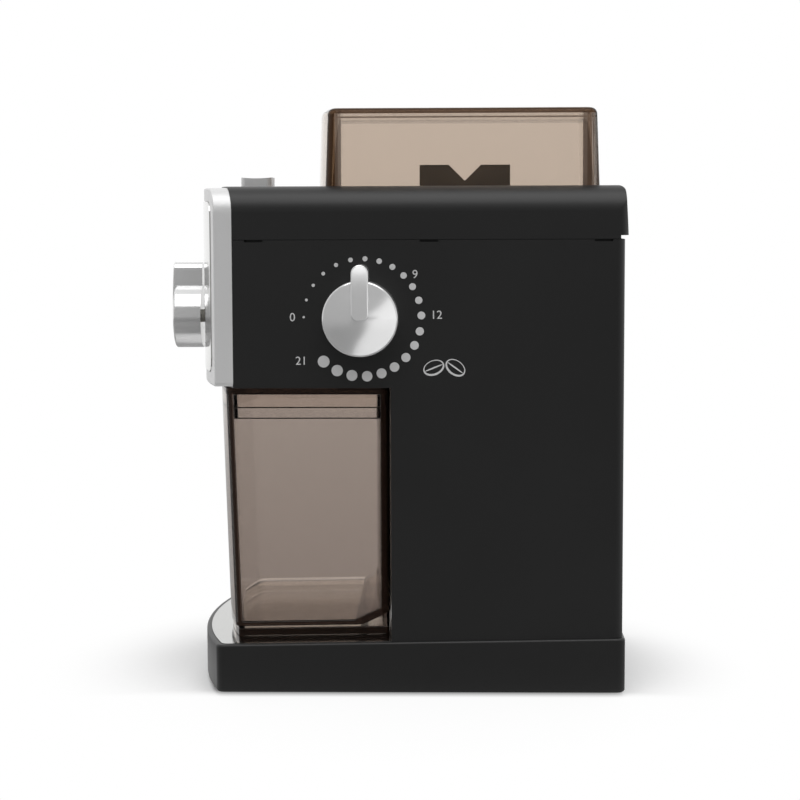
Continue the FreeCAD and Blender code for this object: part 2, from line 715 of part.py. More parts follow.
def button_block(grow, z0, z1):
    """A rounded upright block on the start button's outline."""
    half_x, half_y = BUTTON_WIDTH / 2 + grow, BUTTON_LENGTH / 2 + grow
    solid = box(-half_x, half_x, BUTTON_Y - half_y, BUTTON_Y + half_y, z0, z1)
    corners = [(sx * half_x, BUTTON_Y + sy * half_y) for sx in (-1, 1) for sy in (-1, 1)]
    return solid.makeFillet(BUTTON_CORNER_R + grow, upright_edges(solid, corners))


def cover_hollow(inset):
    """The space under the cover's roof, narrowed by inset at the sides."""
    return arched_block(BODY_INNER_X - inset, -FAR, COVER_CEILING_Z, COVER_EDGE_R - WALL, 0, -FAR,
                        COVER_BACK_Y - COVER_BACK_LEAN - WALL)


def top_cover():
    groove_top_z = COVER_BOTTOM_Z + BACK_GROOVE_HEIGHT
    top_back_y = COVER_BACK_Y - COVER_BACK_LEAN
    side = ((-FAR, COVER_BOTTOM_Z), (COVER_BACK_Y, COVER_BOTTOM_Z), (COVER_BACK_Y, groove_top_z),
            (top_back_y, COVER_TOP_Z), (-FAR, COVER_TOP_Z))
    lean = polygon([V(-FAR, y, z) for y, z in side]).extrude(V(2 * FAR, 0, 0))
    back_top = [e for e in lean.Edges if all(abs(v.Z - COVER_TOP_Z) < NEAR and v.Y > 0 for v in e.Vertexes)]
    lean = lean.makeFillet(COVER_BACK_R, back_top)
    outer = arched_block(BODY_HALF_WIDTH, 0, COVER_TOP_Z, COVER_EDGE_R, 0, -FAR, FAR).common(lean)
    outer = outer.common(body_block(0, COVER_BACK_Y, 0, FAR, BODY_BACK_R))
    shell = outer.cut(cover_hollow(0))
    tongue_x = BODY_INNER_X - CLEAR / 2
    tongue_back = BODY_BACK_Y - WALL - CLEAR / 2
    tongue_front = BODY_FRONT_Y + WALL
    tongue = box(-tongue_x, tongue_x, tongue_front, tongue_back, SEAM_Z - TONGUE_DEPTH, COVER_BOTTOM_Z)
    root = box(-BODY_INNER_X, BODY_INNER_X, tongue_front, top_back_y - WALL, COVER_BOTTOM_Z,
               COVER_BOTTOM_Z + TONGUE_DEPTH)
    core = box(-tongue_x + TONGUE_WALL, tongue_x - TONGUE_WALL, -FAR, tongue_back - TONGUE_WALL, 0, FAR)
    collar_grow = BUTTON_FLANGE + BUTTON_GAP + COLLAR_WALL
    collar = button_block(collar_grow, COLLAR_BOTTOM_Z, COVER_CEILING_Z + WALL / 2)
    shell = fuse([shell, tongue.cut(core), root.cut(core), collar])
    groove = box(-FAR, FAR, BODY_BACK_Y - BACK_GROOVE_DEPTH, FAR, SEAM_Z, groove_top_z)
    groove = groove.cut(box(-FAR, FAR, -FAR, tongue_back + FIT, -FAR, FAR))
    well = button_block(BUTTON_FLANGE + BUTTON_GAP, 0, COVER_CEILING_Z)
    return cut(shell, [lid_block(LID_GAP, 0, FAR), button_block(BUTTON_GAP, 0, FAR), well, groove])


def bezel_arch(inset, corner_r, foot_r):
    return arched_block(BODY_HALF_WIDTH - inset, BEZEL_BOTTOM_Z + inset, BEZEL_TOP_Z - inset,
                        corner_r, foot_r, -FAR, 0)


def bowed_slice(front_y, back_y):
    """The space between two bowed fronts, across the whole body."""
    reach = BODY_HALF_WIDTH
    whole = bowed_block(reach, front_y, 0, FRONT_BOW, 0, FAR)
    return whole.cut(bowed_block(reach, back_y, PAST, FRONT_BOW, -PAST, FAR + PAST))


def knob_bore(radius):
    return rod_y(radius, -FAR, 0, 0, KNOB_Z)


def front_bezel():
    frame = bezel_arch(0, COVER_EDGE_R, BEZEL_FOOT_R).common(bowed_slice(BEZEL_FRONT_Y, BODY_FRONT_Y))
    front_face = min(frame.Faces, key=lambda f: f.CenterOfMass.y)
    frame = frame.makeFillet(BEZEL_EDGE_R, front_face.Edges)
    hollow = bezel_arch(WALL, COVER_EDGE_R - WALL, 0)
    hollow = hollow.common(bowed_slice(BEZEL_FRONT_Y + WALL, BODY_FRONT_Y + PAST))
    pocket_inset = PLATE_MARGIN - PLATE_GAP
    pocket_back = PLATE_FRONT_Y + PLATE_THICKNESS
    pocket = bezel_arch(pocket_inset, PLATE_CORNER_R + PLATE_GAP, PLATE_CORNER_R + PLATE_GAP)
    pocket = pocket.common(bowed_slice(BEZEL_FRONT_Y - PAST, pocket_back))
    return cut(frame, [hollow, pocket, knob_bore(TIMER_SHAFT_R + CLEAR)])


def front_plate():
    plate = bezel_arch(PLATE_MARGIN, PLATE_CORNER_R, PLATE_CORNER_R)
    plate = plate.common(bowed_slice(PLATE_FRONT_Y, PLATE_FRONT_Y + PLATE_THICKNESS))
    return cut(plate, [knob_bore(TIMER_SHAFT_R + CLEAR)])


# Hopper

def cone_above(drop):
    """The space above the hopper's conical floor, lowered by drop."""
    rise = LID_SEAT_Z - HOPPER_FLOOR_Z
    low = HOPPER_FLOOR_Z + HOPPER_WALL - drop
    return turned([(0, low), (HOPPER_HOLE_R, low), (HOPPER_HOLE_R + rise * HOPPER_CONE, low + rise),
                   (HOPPER_HOLE_R + rise * HOPPER_CONE, FAR), (0, FAR)], BURR_Y)


def bean_hopper():
    rim_outer = LID_GAP + HOPPER_WALL
    ledge_z = LID_SEAT_Z - HOPPER_WALL
    flange = lid_block(rim_outer + HOPPER_FLANGE, COVER_CEILING_Z - HOPPER_WALL, COVER_CEILING_Z)
    rim = fuse([flange, lid_block(rim_outer, ledge_z, COVER_CEILING_Z)]).common(cover_hollow(FIT))
    tub = lid_block(HOPPER_WALL - HOPPER_LEDGE, HOPPER_FLOOR_Z, LID_SEAT_Z).common(cone_above(HOPPER_WALL))
    bowl = lid_block(-HOPPER_LEDGE, 0, FAR).common(cone_above(0))
    hole = rod(HOPPER_HOLE_R, 0, FAR, 0, BURR_Y)
    return cut(fuse([rim, tub]), [lid_block(LID_GAP, LID_SEAT_Z, FAR), bowl, hole])


def hopper_lid():
    low_z = LID_SEAT_Z + CLEAR

    def shell(inset, top_z):
        low = (LID_HALF_WIDTH - inset, LID_FRONT_Y + inset, LID_BACK_Y - inset, LID_BOW)
        shrink = inset + LID_DRAFT
        high = (LID_HALF_WIDTH - shrink, LID_FRONT_Y + shrink, LID_BACK_Y - shrink, LID_BOW)
        return tapered_block(low, high, low_z - (PAST if inset else 0), top_z, LID_CORNER_R - inset)

    outer = shell(0, LID_TOP_Z)
    top_edges = [e for e in outer.Edges if all(abs(v.Z - LID_TOP_Z) < NEAR for v in e.Vertexes)]
    outer = outer.makeFillet(LID_TOP_R, top_edges)
    return cut(outer, [shell(LID_WALL, LID_TOP_Z - LID_WALL)])


# Grounds container

def cup_block(inset, back_inset, z0, z1, front_inset=None):
    """The container's drafted block, its walls moved in; the front goes with the sides unless it is given."""
    front_inset = inset if front_inset is None else front_inset
    lean = (CUP_FRONT_TOP_Y - CUP_FRONT_BOTTOM_Y) / (CUP_TOP_Z - deck_z(CUP_FRONT_BOTTOM_Y))

    def outline(z):
        front = CUP_FRONT_BOTTOM_Y + lean * (z - deck_z(CUP_FRONT_BOTTOM_Y))
        return (CUP_HALF_WIDTH - inset, front + front_inset, CUP_BACK_Y - back_inset, CUP_BOW)

    return tapered_block(outline(z0), outline(z1), z0, z1, max(CUP_CORNER_R - inset, LEAST_CORNER_R))


CUP_FLOOR_OFFSET = DECK_PLATE_PROUD + CLEAR + CUP_FOOT_HEIGHT


def heel_wedge(inset, offset):
    """The sloping corner that is cut from the container's bottom at the back."""
    back = CUP_BACK_Y - inset
    low = deck_z(back) + offset
    start = back - CUP_CHAMFER_Y
    high = low + CUP_CHAMFER_Z
    corners = ((start, low), (back, high), (FAR, high), (FAR, -FAR), (start, -FAR))
    return polygon([V(-FAR, y, z) for y, z in corners]).extrude(V(2 * FAR, 0, 0))


def grounds_container():
    low_z = deck_z(BASE_FRONT_Y)
    body = cup_block(0, 0, low_z, CUP_RIM_Z).common(above_deck(CUP_FLOOR_OFFSET))
    body = body.cut(heel_wedge(0, CUP_FLOOR_OFFSET))
    inside = cup_block(CUP_SIDE_WALL, CUP_BACK_WALL, low_z, CUP_TOP_Z)
    inside = inside.common(above_deck(CUP_FLOOR_OFFSET + CUP_FLOOR))
    inside = inside.cut(heel_wedge(CUP_BACK_WALL, CUP_FLOOR_OFFSET + CUP_FLOOR))
    foot = cup_block(CUP_FOOT_INSET, CUP_FOOT_BACK, low_z, CUP_RIM_Z, CUP_FOOT_FRONT)
    foot = foot.cut(cup_block(CUP_FOOT_INSET + CUP_FOOT_WALL, CUP_FOOT_BACK + CUP_FOOT_WALL, low_z - PAST,
                              CUP_RIM_Z + PAST, CUP_FOOT_FRONT + CUP_FOOT_WALL))
    mid_floor = CUP_FLOOR_OFFSET + CUP_FLOOR / 2
    foot = foot.common(fuse([below_deck(mid_floor), heel_wedge(0, mid_floor)]))
    foot = foot.common(above_deck(DECK_PLATE_PROUD + CLEAR))
    return cut(fuse([body, foot]), [inside])


def container_lid():
    cap = cup_block(0, 0, CUP_RIM_Z, CUP_TOP_Z)
    cap_hollow = cup_block(CUP_SIDE_WALL, CUP_SIDE_WALL, CUP_RIM_Z - PAST, CUP_TOP_Z - CUP_LID_TOP)
    plug_side = CUP_SIDE_WALL + CUP_LID_GAP
    plug_back = CUP_BACK_WALL + CUP_LID_GAP
    plug_top = CUP_TOP_Z - CUP_LID_TOP / 2
    plug_z = CUP_RIM_Z - CUP_LID_PLUG
    plug = cup_block(plug_side, plug_back, plug_z, plug_top)
    plug_hollow = cup_block(plug_side + CUP_LID_PLUG_WALL, plug_back + CUP_LID_PLUG_WALL, plug_z - PAST,
                            CUP_TOP_Z - CUP_LID_TOP)
    lid = fuse([cap.cut(cap_hollow), plug.cut(plug_hollow)])
    mouth_back = CUP_BACK_Y - plug_back - CUP_LID_PLUG_WALL
    return cut(lid, [box(-CHUTE_HALF_WIDTH, CHUTE_HALF_WIDTH, CHUTE_FRONT_Y, mouth_back, CUP_RIM_Z, FAR)])


# Grinding works

def chamber_legs():
    reach = LEG_CIRCLE / math.sqrt(2)
    return [(sx * reach, BURR_Y + sy * reach) for sx in (-1, 1) for sy in (-1, 1)]


def grind_chamber():
    outer_r = CHAMBER_R + CHAMBER_WALL
    neck_bore = CARRIER_R + CLEAR
    bush_hole = BUSH_R + FIT
    shoulder_z = CHAMBER_STEP_Z + CHAMBER_SHOULDER
    cup = turned([(bush_hole, CHAMBER_FLOOR_Z), (outer_r, CHAMBER_FLOOR_Z), (outer_r, shoulder_z),
                  (NECK_R, shoulder_z), (NECK_R, CHAMBER_TOP_Z), (neck_bore, CHAMBER_TOP_Z),
                  (neck_bore, CHAMBER_STEP_Z), (CHAMBER_R, CHAMBER_STEP_Z), (CHAMBER_R, CHAMBER_INNER_Z),
                  (bush_hole, CHAMBER_INNER_Z)], BURR_Y)
    legs = [rod(LEG_R, CHASSIS_TOP_Z, CHAMBER_FLOOR_Z + CHAMBER_FLOOR / 2, x, y) for x, y in chamber_legs()]
    inside = rod(CHAMBER_R, CHAMBER_INNER_Z, CHAMBER_STEP_Z, 0, BURR_Y)
    window_half = CHUTE_HALF_WIDTH - CHUTE_WALL
    window = box(-window_half, window_half, -FAR, BURR_Y, CHAMBER_INNER_Z, CHAMBER_INNER_Z + WINDOW_HEIGHT)
    pilots = [rod(SCREW_R + FIT, CHASSIS_TOP_Z, CHASSIS_TOP_Z + SCREW_GRIP, x, y) for x, y in chamber_legs()]
    return cut(fuse([cup] + legs), [inside, window] + pilots)


def chamber_screws():
    length = CHASSIS_THICKNESS + SCREW_GRIP
    return Part.Compound([screw_up(x, y, CHASSIS_Z, length) for x, y in chamber_legs()])


def grounds_chute():
    drop_z = RECESS_TOP_Z - CLEAR
    roof_z = CHAMBER_INNER_Z + WINDOW_HEIGHT + CHUTE_WALL
    x = CHUTE_HALF_WIDTH
    inner_x = x - CHUTE_WALL
    front, back = CHUTE_FRONT_Y, CHUTE_BACK_Y
    shaft = box(-x, x, front, back, drop_z, roof_z)
    throat = box(-x, x, front, BURR_Y, CHAMBER_FLOOR_Z, roof_z)
    flange = chute_hole(CHUTE_FLANGE, RECESS_CEILING_Z, RECESS_CEILING_Z + CHUTE_WALL)
    drop = box(-inner_x, inner_x, front + CHUTE_WALL, back - CHUTE_WALL, 0, CHAMBER_INNER_Z + WINDOW_HEIGHT)
    inlet = box(-inner_x, inner_x, front + CHUTE_WALL, BURR_Y,
                CHAMBER_INNER_Z, CHAMBER_INNER_Z + WINDOW_HEIGHT)
    chamber = rod(CHAMBER_R + CHAMBER_WALL + CLEAR, CHAMBER_FLOOR_Z - PAST, FAR, 0, BURR_Y)
    return cut(fuse([shaft, throat, flange]), [drop, inlet, chamber])


def flanged_bush(bore, z0, z1, flange_z, y):
    """A plain bearing bush with a thrust flange."""
    body = rod(BUSH_R, z0, z1, 0, y)
    flange = rod(BUSH_FLANGE_R, flange_z, flange_z + BUSH_FLANGE, 0, y)
    return cut(fuse([body, flange]), [rod(bore, -FAR, FAR, 0, y)])


def shaft_bushes():
    bore = BURR_SHAFT_R + FIT
    low = flanged_bush(bore, CHASSIS_Z, CHASSIS_TOP_Z + BUSH_FLANGE, CHASSIS_TOP_Z, BURR_Y)
    high_z = CHAMBER_FLOOR_Z - BUSH_FLANGE
    high = flanged_bush(bore, high_z, CHAMBER_INNER_Z, high_z, BURR_Y)
    return Part.Compound([low, high])


def burr_grooves(tip_z, up):
    """Wedges that cut the burr's skewed grooves into a face at tip_z; up is +1 for a face that looks up."""
    half = BURR_GROOVE_WIDTH / 2
    tools = []
    for i in range(BURR_GROOVES):
        bottom = V(0, half * BURR_GROOVE_LEAN, tip_z - up * BURR_TOOTH)
        wedge = polygon([V(0, -half, tip_z), V(0, half, tip_z), bottom])
        wedge = wedge.extrude(V(2 * BURR_R, 0, 0))
        wedge.translate(V(0, BURR_GROOVE_SKEW, 0))
        wedge.rotate(V(0, 0, 0), V(0, 0, 1), 360.0 * i / BURR_GROOVES)
        wedge.translate(V(0, BURR_Y, 0))
        tools.append(wedge)
    return tools


def lower_burr():
    land_r = LOWER_BURR_BORE + BURR_LAND
    body_z = LOWER_BURR_Z + BURR_BODY
    ring = turned([(LOWER_BURR_BORE, LOWER_BURR_Z), (BURR_R, LOWER_BURR_Z), (BURR_R, LOWER_TEETH_Z),
                   (land_r, LOWER_TEETH_Z), (land_r, body_z), (LOWER_BURR_BORE, body_z)], BURR_Y)
    return cut(ring, burr_grooves(LOWER_TEETH_Z, 1))


def burr_screw_places():
    angles = [2 * math.pi * i / LUG_COUNT + math.pi / 2 + math.pi / LUG_COUNT for i in range(LUG_COUNT)]
    return [(BURR_SCREW_CIRCLE * math.cos(a), BURR_Y + BURR_SCREW_CIRCLE * math.sin(a)) for a in angles]


UPPER_SEAT_Z = UPPER_BURR_Z + BURR_TOOTH + SCREW_HEAD_HEIGHT


def upper_burr():
    ring = turned([(UPPER_BURR_BORE, UPPER_BURR_Z), (BURR_R, UPPER_BURR_Z), (BURR_R, CARRIER_DISC_Z),
                   (UPPER_BURR_BORE, CARRIER_DISC_Z)], BURR_Y)
    holes = [rod(SCREW_R + FIT, 0, FAR, x, y) for x, y in burr_screw_places()]
    holes += [rod(SCREW_HEAD_R + FIT, 0, UPPER_SEAT_Z, x, y) for x, y in burr_screw_places()]
    return cut(ring, burr_grooves(UPPER_BURR_Z, -1) + holes)


def upper_burr_screws():
    grip = CARRIER_DISC_Z - UPPER_SEAT_Z + CARRIER_DISC
    return Part.Compound([screw_up(x, y, UPPER_SEAT_Z, grip) for x, y in burr_screw_places()])


def lugs(grow, z0, z1):
    """The keys between carrier and ring, grown for the ring's slots."""
    bars = []
    for i in range(LUG_COUNT):
        half = LUG_WIDTH / 2 + grow
        bar = box(CARRIER_R - CARRIER_WALL / 2, CARRIER_R + LUG_REACH + grow, -half, half, z0, z1)
        bar.rotate(V(0, 0, 0), V(0, 0, 1), 90 + 360.0 * i / LUG_COUNT)
        bar.translate(V(0, BURR_Y, 0))
        bars.append(bar)
    return bars


def burr_carrier():
    skirt_r = CARRIER_R - CARRIER_WALL
    skirt_z = CARRIER_DISC_Z - CARRIER_SKIRT
    funnel = turned([(UPPER_BURR_BORE, CARRIER_DISC_Z), (skirt_r, CARRIER_DISC_Z), (skirt_r, skirt_z),
                     (CARRIER_R, skirt_z), (CARRIER_R, CARRIER_TOP_Z),
                     (CARRIER_R - CARRIER_WALL / 2, CARRIER_TOP_Z),
                     (UPPER_BURR_BORE, CARRIER_DISC_Z + CARRIER_DISC)], BURR_Y)
    y0, y1 = BURR_Y - HANDLE_HALF_LENGTH, BURR_Y + HANDLE_HALF_LENGTH
    half = HANDLE_NOTCH_WIDTH / 2
    outline = [V(-HANDLE_THICKNESS / 2, y, z) for y, z in (
        (y0, HANDLE_FOOT_Z), (y1, HANDLE_FOOT_Z), (y1, HANDLE_TOP_Z), (BURR_Y + half, HANDLE_TOP_Z),
        (BURR_Y, HANDLE_TOP_Z - HANDLE_NOTCH_DEPTH), (BURR_Y - half, HANDLE_TOP_Z), (y0, HANDLE_TOP_Z))]
    handle = polygon(outline).extrude(V(HANDLE_THICKNESS, 0, 0))
    lug_z = RING_Z + LUG_RISE
    whole = fuse([funnel, handle] + lugs(0, lug_z, lug_z + LUG_HEIGHT))
    pilots = [rod(SCREW_R + FIT, 0, CARRIER_DISC_Z + CARRIER_DISC, x, y) for x, y in burr_screw_places()]
    return cut(whole, pilots)


def adjust_ring():
    bore = CARRIER_R + CLEAR
    top_z = RING_Z + RING_HEIGHT
    skirt_r = NECK_R + FIT
    ring = turned([(bore, RING_Z), (skirt_r, RING_Z), (skirt_r, RING_Z - RING_SKIRT),
                   (skirt_r + RING_SKIRT_WALL, RING_Z - RING_SKIRT), (skirt_r + RING_SKIRT_WALL, RING_Z),
                   (RING_R, RING_Z), (RING_R, top_z), (bore, top_z)], BURR_Y)
    teeth = gear_face(RING_SECTOR_TEETH, 0).extrude(V(0, 0, RING_HEIGHT))
    start, end = (math.radians(a) for a in RING_SECTOR_DEG)
    reach = RING_PITCH_R * 2
    rays = [V(reach * math.cos(a), reach * math.sin(a), 0) for a in (start, 0, end)]
    fan = polygon([V(0, 0, 0)] + rays).extrude(V(0, 0, RING_HEIGHT))
    sector = teeth.common(fan).cut(rod(RING_R - PAST, 0, RING_HEIGHT))
    sector.translate(V(0, BURR_Y, RING_Z))
    return cut(fuse([ring, sector]), lugs(CLEAR, RING_Z, FAR))


def adjust_rack():
    top_z = RING_Z + RING_HEIGHT - CLEAR
    low_z = RACK_LINE_Z + GEAR_DEDENDUM * GEAR_MODULE
    y0, y1 = RACK_PINION_SPAN[0], RACK_RING_SPAN[1]
    plate = box(RACK_X, RACK_BACK_X, y0, y1, low_z, top_z)
    low = [V(RACK_X, y, RACK_LINE_Z - h) for y, h in rack_points(*RACK_PINION_SPAN, DIAL_Y)]
    low += [V(RACK_X, RACK_PINION_SPAN[1], low_z + PAST), V(RACK_X, y0, low_z + PAST)]
    low_teeth = polygon(low).extrude(V(RACK_THICKNESS, 0, 0))
    flange_z = top_z - RACK_FLANGE
    side = [V(RING_PITCH_R - h, y, flange_z) for y, h in rack_points(*RACK_RING_SPAN, BURR_Y)]
    side += [V(RACK_X + PAST, RACK_RING_SPAN[1], flange_z), V(RACK_X + PAST, RACK_RING_SPAN[0], flange_z)]
    side_teeth = polygon(side).extrude(V(0, 0, RACK_FLANGE))
    rib = box(RACK_BACK_X, RACK_BACK_X + RACK_RIB, y0, y1, RACK_RIB_Z, RACK_RIB_Z + RACK_RIB_HEIGHT)
    return fuse([plate, low_teeth, side_teeth, rib])


def rack_guide():
    z0, z1 = RACK_RIB_Z - GUIDE_MARGIN, RACK_RIB_Z + RACK_RIB_HEIGHT + GUIDE_MARGIN
    rail = box(RACK_BACK_X + CLEAR, BODY_INNER_X, *GUIDE_SPAN, z0, z1)
    groove_z = RACK_RIB_Z - 2 * FIT
    groove = box(0, RACK_BACK_X + RACK_RIB + CLEAR, -FAR, FAR, groove_z, groove_z + RACK_RIB_HEIGHT + 4 * FIT)
    return cut(rail, [groove])


def dial_bush():
    body = rod_x(BUSH_R, RACK_BACK_X + PINION_OVERLAP + CLEAR, BODY_HALF_WIDTH, DIAL_Y, DIAL_Z)
    flange = rod_x(BUSH_FLANGE_R, BODY_INNER_X - BUSH_FLANGE, BODY_INNER_X, DIAL_Y, DIAL_Z)
    return cut(fuse([body, flange]), [rod_x(DIAL_SHAFT_R + FIT, 0, FAR, DIAL_Y, DIAL_Z)])


def dial_shaft():
    start = RACK_X - PINION_OVERLAP
    pinion = gear_face(PINION_TEETH, 90).extrude(V(0, 0, RACK_THICKNESS + 2 * PINION_OVERLAP))
    pinion = toward_x(pinion, start, DIAL_Y, DIAL_Z)
    stem = rod_x(DIAL_SHAFT_R, start, DIAL_BACK_X + SHAFT_GRIP, DIAL_Y, DIAL_Z)
    return fuse([pinion, stem])


def sweeper():
    hub_r = LOWER_BURR_BORE - FIT
    disc_r = CHAMBER_R - SWEEPER_RIM_GAP
    disc = turned([(0, SWEEPER_Z), (disc_r, SWEEPER_Z), (disc_r, LOWER_BURR_Z), (hub_r, LOWER_BURR_Z),
                   (hub_r, LOWER_BURR_Z + BURR_BODY), (0, LOWER_BURR_Z + BURR_BODY)], BURR_Y)
    paddles = []
    for i in range(SWEEPER_PADDLES):
        paddle = box(BURR_R + SWEEPER_RIM_GAP, disc_r, -PADDLE_THICKNESS / 2, PADDLE_THICKNESS / 2,
                     SWEEPER_Z - SWEEPER_GAP / 2, LOWER_BURR_Z + PADDLE_RISE)
        paddle.rotate(V(0, 0, 0), V(0, 0, 1), 360.0 * i / SWEEPER_PADDLES)
        paddle.translate(V(0, BURR_Y, 0))
        paddles.append(paddle)
    return cut(fuse([disc] + paddles), [rod(BURR_SHAFT_R + FIT, 0, FAR, 0, BURR_Y)])


def burr_nut():
    seat_z = LOWER_BURR_Z + BURR_BODY
    flange = rod(LOWER_BURR_BORE + BURR_LAND - CLEAR, seat_z, seat_z + NUT_FLANGE, 0, BURR_Y)
    angles = [math.pi * i / 3 for i in range(6)]
    corners = [V(NUT_R * math.cos(a), BURR_Y + NUT_R * math.sin(a), seat_z) for a in angles]
    hexagon = polygon(corners).extrude(V(0, 0, NUT_FLANGE + NUT_HEIGHT))
    return cut(fuse([flange, hexagon]), [rod(BURR_SHAFT_R + FIT, 0, FAR, 0, BURR_Y)])


def burr_shaft():
    nut_top = LOWER_BURR_Z + BURR_BODY + NUT_FLANGE + NUT_HEIGHT
    return rod(BURR_SHAFT_R, CHASSIS_Z - SHAFT_END, nut_top + SHAFT_END, 0, BURR_Y)


def drive_gear():
    teeth = gear_face(DRIVE_TEETH, 90).extrude(V(0, 0, GEAR_HEIGHT))
    teeth.translate(V(0, BURR_Y, GEAR_Z))
    hub_low = CHASSIS_TOP_Z + BUSH_FLANGE + CLEAR
    hub = rod(BUSH_FLANGE_R, hub_low, GEAR_Z + GEAR_HEIGHT + GEAR_HUB_STAND, 0, BURR_Y)
    core = rod(BUSH_FLANGE_R + GEAR_DISH, -FAR, FAR, 0, BURR_Y)
    dishes = [rod(DRIVE_PITCH_R - GEAR_RIM, z, z + GEAR_DISH, 0, BURR_Y).cut(core)
              for z in (GEAR_Z, GEAR_Z + GEAR_HEIGHT - GEAR_DISH)]
    return cut(fuse([teeth.cut(dishes), hub]), [rod(BURR_SHAFT_R + FIT, 0, FAR, 0, BURR_Y)])


# Motor

def chassis_plate():
    x = BODY_INNER_X - CHASSIS_GAP
    front, back = RECESS_BACK_Y + WALL + CHASSIS_GAP, BODY_BACK_Y - WALL - CHASSIS_GAP
    plate = box(-x, x, front, back, CHASSIS_Z, CHASSIS_TOP_Z)
    holes = [rod(SCREW_R + FIT, 0, FAR, *p) for p in column_places() + chamber_legs()]
    holes += [rod(BUSH_R + FIT, 0, FAR, 0, BURR_Y), rod(BUSH_R, 0, FAR, 0, MOTOR_Y)]
    return cut(plate, holes)


def chassis_screws():
    screws = []
    for x, y in column_places():
        head = rod(SCREW_HEAD_R, CHASSIS_TOP_Z, CHASSIS_TOP_Z + SCREW_HEAD_HEIGHT, x, y)
        screws.append(fuse([head, rod(SCREW_R, CHASSIS_Z - SCREW_GRIP, CHASSIS_TOP_Z, x, y)]))
    return Part.Compound(screws)


def motor_mounts():
    ring = rod(MOTOR_R - MOUNT_INSET, MOTOR_TOP_Z, CHASSIS_Z, 0, MOTOR_Y)
    return cut(ring, [rod(BUSH_FLANGE_R + CLEAR, 0, FAR, 0, MOTOR_Y)])


def motor_can():
    outer = rod(MOTOR_R, MOTOR_BOTTOM_Z, MOTOR_TOP_Z, 0, MOTOR_Y)
    inner = rod(MOTOR_R - MOTOR_WALL, MOTOR_BOTTOM_Z - PAST, MOTOR_TOP_Z - WALL, 0, MOTOR_Y)
    half = CAN_VENT_WIDTH / 2
    vent_z = MOTOR_BOTTOM_Z + END_CAP
    vents = []
    for i in range(CAN_VENTS):
        vent = box(0, FAR, -half, half, vent_z, vent_z + CAN_VENT_HEIGHT)
        vent.rotate(V(0, 0, 0), V(0, 0, 1), 360.0 * (i + 0.5) / CAN_VENTS)
        vent.translate(V(0, MOTOR_Y, 0))
        vents.append(vent)
    return cut(outer, [inner, rod(BUSH_R + FIT, 0, FAR, 0, MOTOR_Y)] + vents)


def motor_end_cap():
    inner_r = MOTOR_R - MOTOR_WALL - FIT
    cap = rod(MOTOR_R, MOTOR_BOTTOM_Z - END_CAP, MOTOR_BOTTOM_Z, 0, MOTOR_Y)
    spigot = rod(inner_r, MOTOR_BOTTOM_Z, MOTOR_BOTTOM_Z + END_CAP_SPIGOT, 0, MOTOR_Y)
    spigot = spigot.cut(rod(inner_r - MOTOR_WALL, 0, FAR, 0, MOTOR_Y))
    half_x, half_y = BRUSH_LENGTH / 2, BRUSH_WIDTH / 2
    brushes = [box(x - half_x, x + half_x, MOTOR_Y - half_y, MOTOR_Y + half_y, MOTOR_BOTTOM_Z - PAST,
                   MOTOR_BOTTOM_Z + BRUSH_HEIGHT) for x in (-BRUSH_REACH, BRUSH_REACH)]
    return cut(fuse([cap, spigot] + brushes), [rod(BUSH_R + FIT, 0, FAR, 0, MOTOR_Y)])


def motor_bushes():
    bore = MOTOR_SHAFT_R + FIT
    roof_z, cap_z = MOTOR_TOP_Z - WALL, MOTOR_BOTTOM_Z - END_CAP
    top = flanged_bush(bore, roof_z, MOTOR_TOP_Z, roof_z - BUSH_FLANGE, MOTOR_Y)
    bottom = flanged_bush(bore, cap_z, MOTOR_BOTTOM_Z, cap_z - BUSH_FLANGE, MOTOR_Y)
    return Part.Compound([top, bottom])


ARMATURE_Z = MOTOR_BOTTOM_Z + (MOTOR_LENGTH - ARMATURE_LENGTH) / 2
MAGNET_Z = ARMATURE_Z + (ARMATURE_LENGTH - MAGNET_LENGTH) / 2


def motor_magnets():
    outer = MOTOR_R - MOTOR_WALL - FIT
    inner = outer - MAGNET_THICKNESS
    top = MAGNET_Z + MAGNET_LENGTH
    section = polygon([V(inner, 0, MAGNET_Z), V(outer, 0, MAGNET_Z), V(outer, 0, top), V(inner, 0, top)])
    magnets = []
    for i in range(2):
        arc = section.revolve(V(0, 0, 0), V(0, 0, 1), MAGNET_SPAN_DEG)
        arc.rotate(V(0, 0, 0), V(0, 0, 1), 180 * i - MAGNET_SPAN_DEG / 2)
        arc.translate(V(0, MOTOR_Y, 0))
        magnets.append(arc)
    return Part.Compound(magnets)


def armature():
    core = rod(ARMATURE_R, ARMATURE_Z, ARMATURE_Z + ARMATURE_LENGTH, 0, MOTOR_Y)
    commutator = rod(COMMUTATOR_R, ARMATURE_Z - COMMUTATOR_LENGTH, ARMATURE_Z, 0, MOTOR_Y)
    slots = []
    for i in range(ARMATURE_SLOTS):
        half = ARMATURE_SLOT_WIDTH / 2
        slot = box(ARMATURE_R - ARMATURE_SLOT_DEPTH, FAR, -half, half, 0, FAR)
        slot.rotate(V(0, 0, 0), V(0, 0, 1), 360.0 * i / ARMATURE_SLOTS)
        slot.translate(V(0, MOTOR_Y, 0))
        slots.append(slot)
    return cut(fuse([core, commutator]), slots + [rod(MOTOR_SHAFT_R + FIT, 0, FAR, 0, MOTOR_Y)])


FAN_TOP_Z = MOTOR_BOTTOM_Z - END_CAP - BUSH_FLANGE - FAN_GAP
FAN_Z = FAN_TOP_Z - FAN_HEIGHT


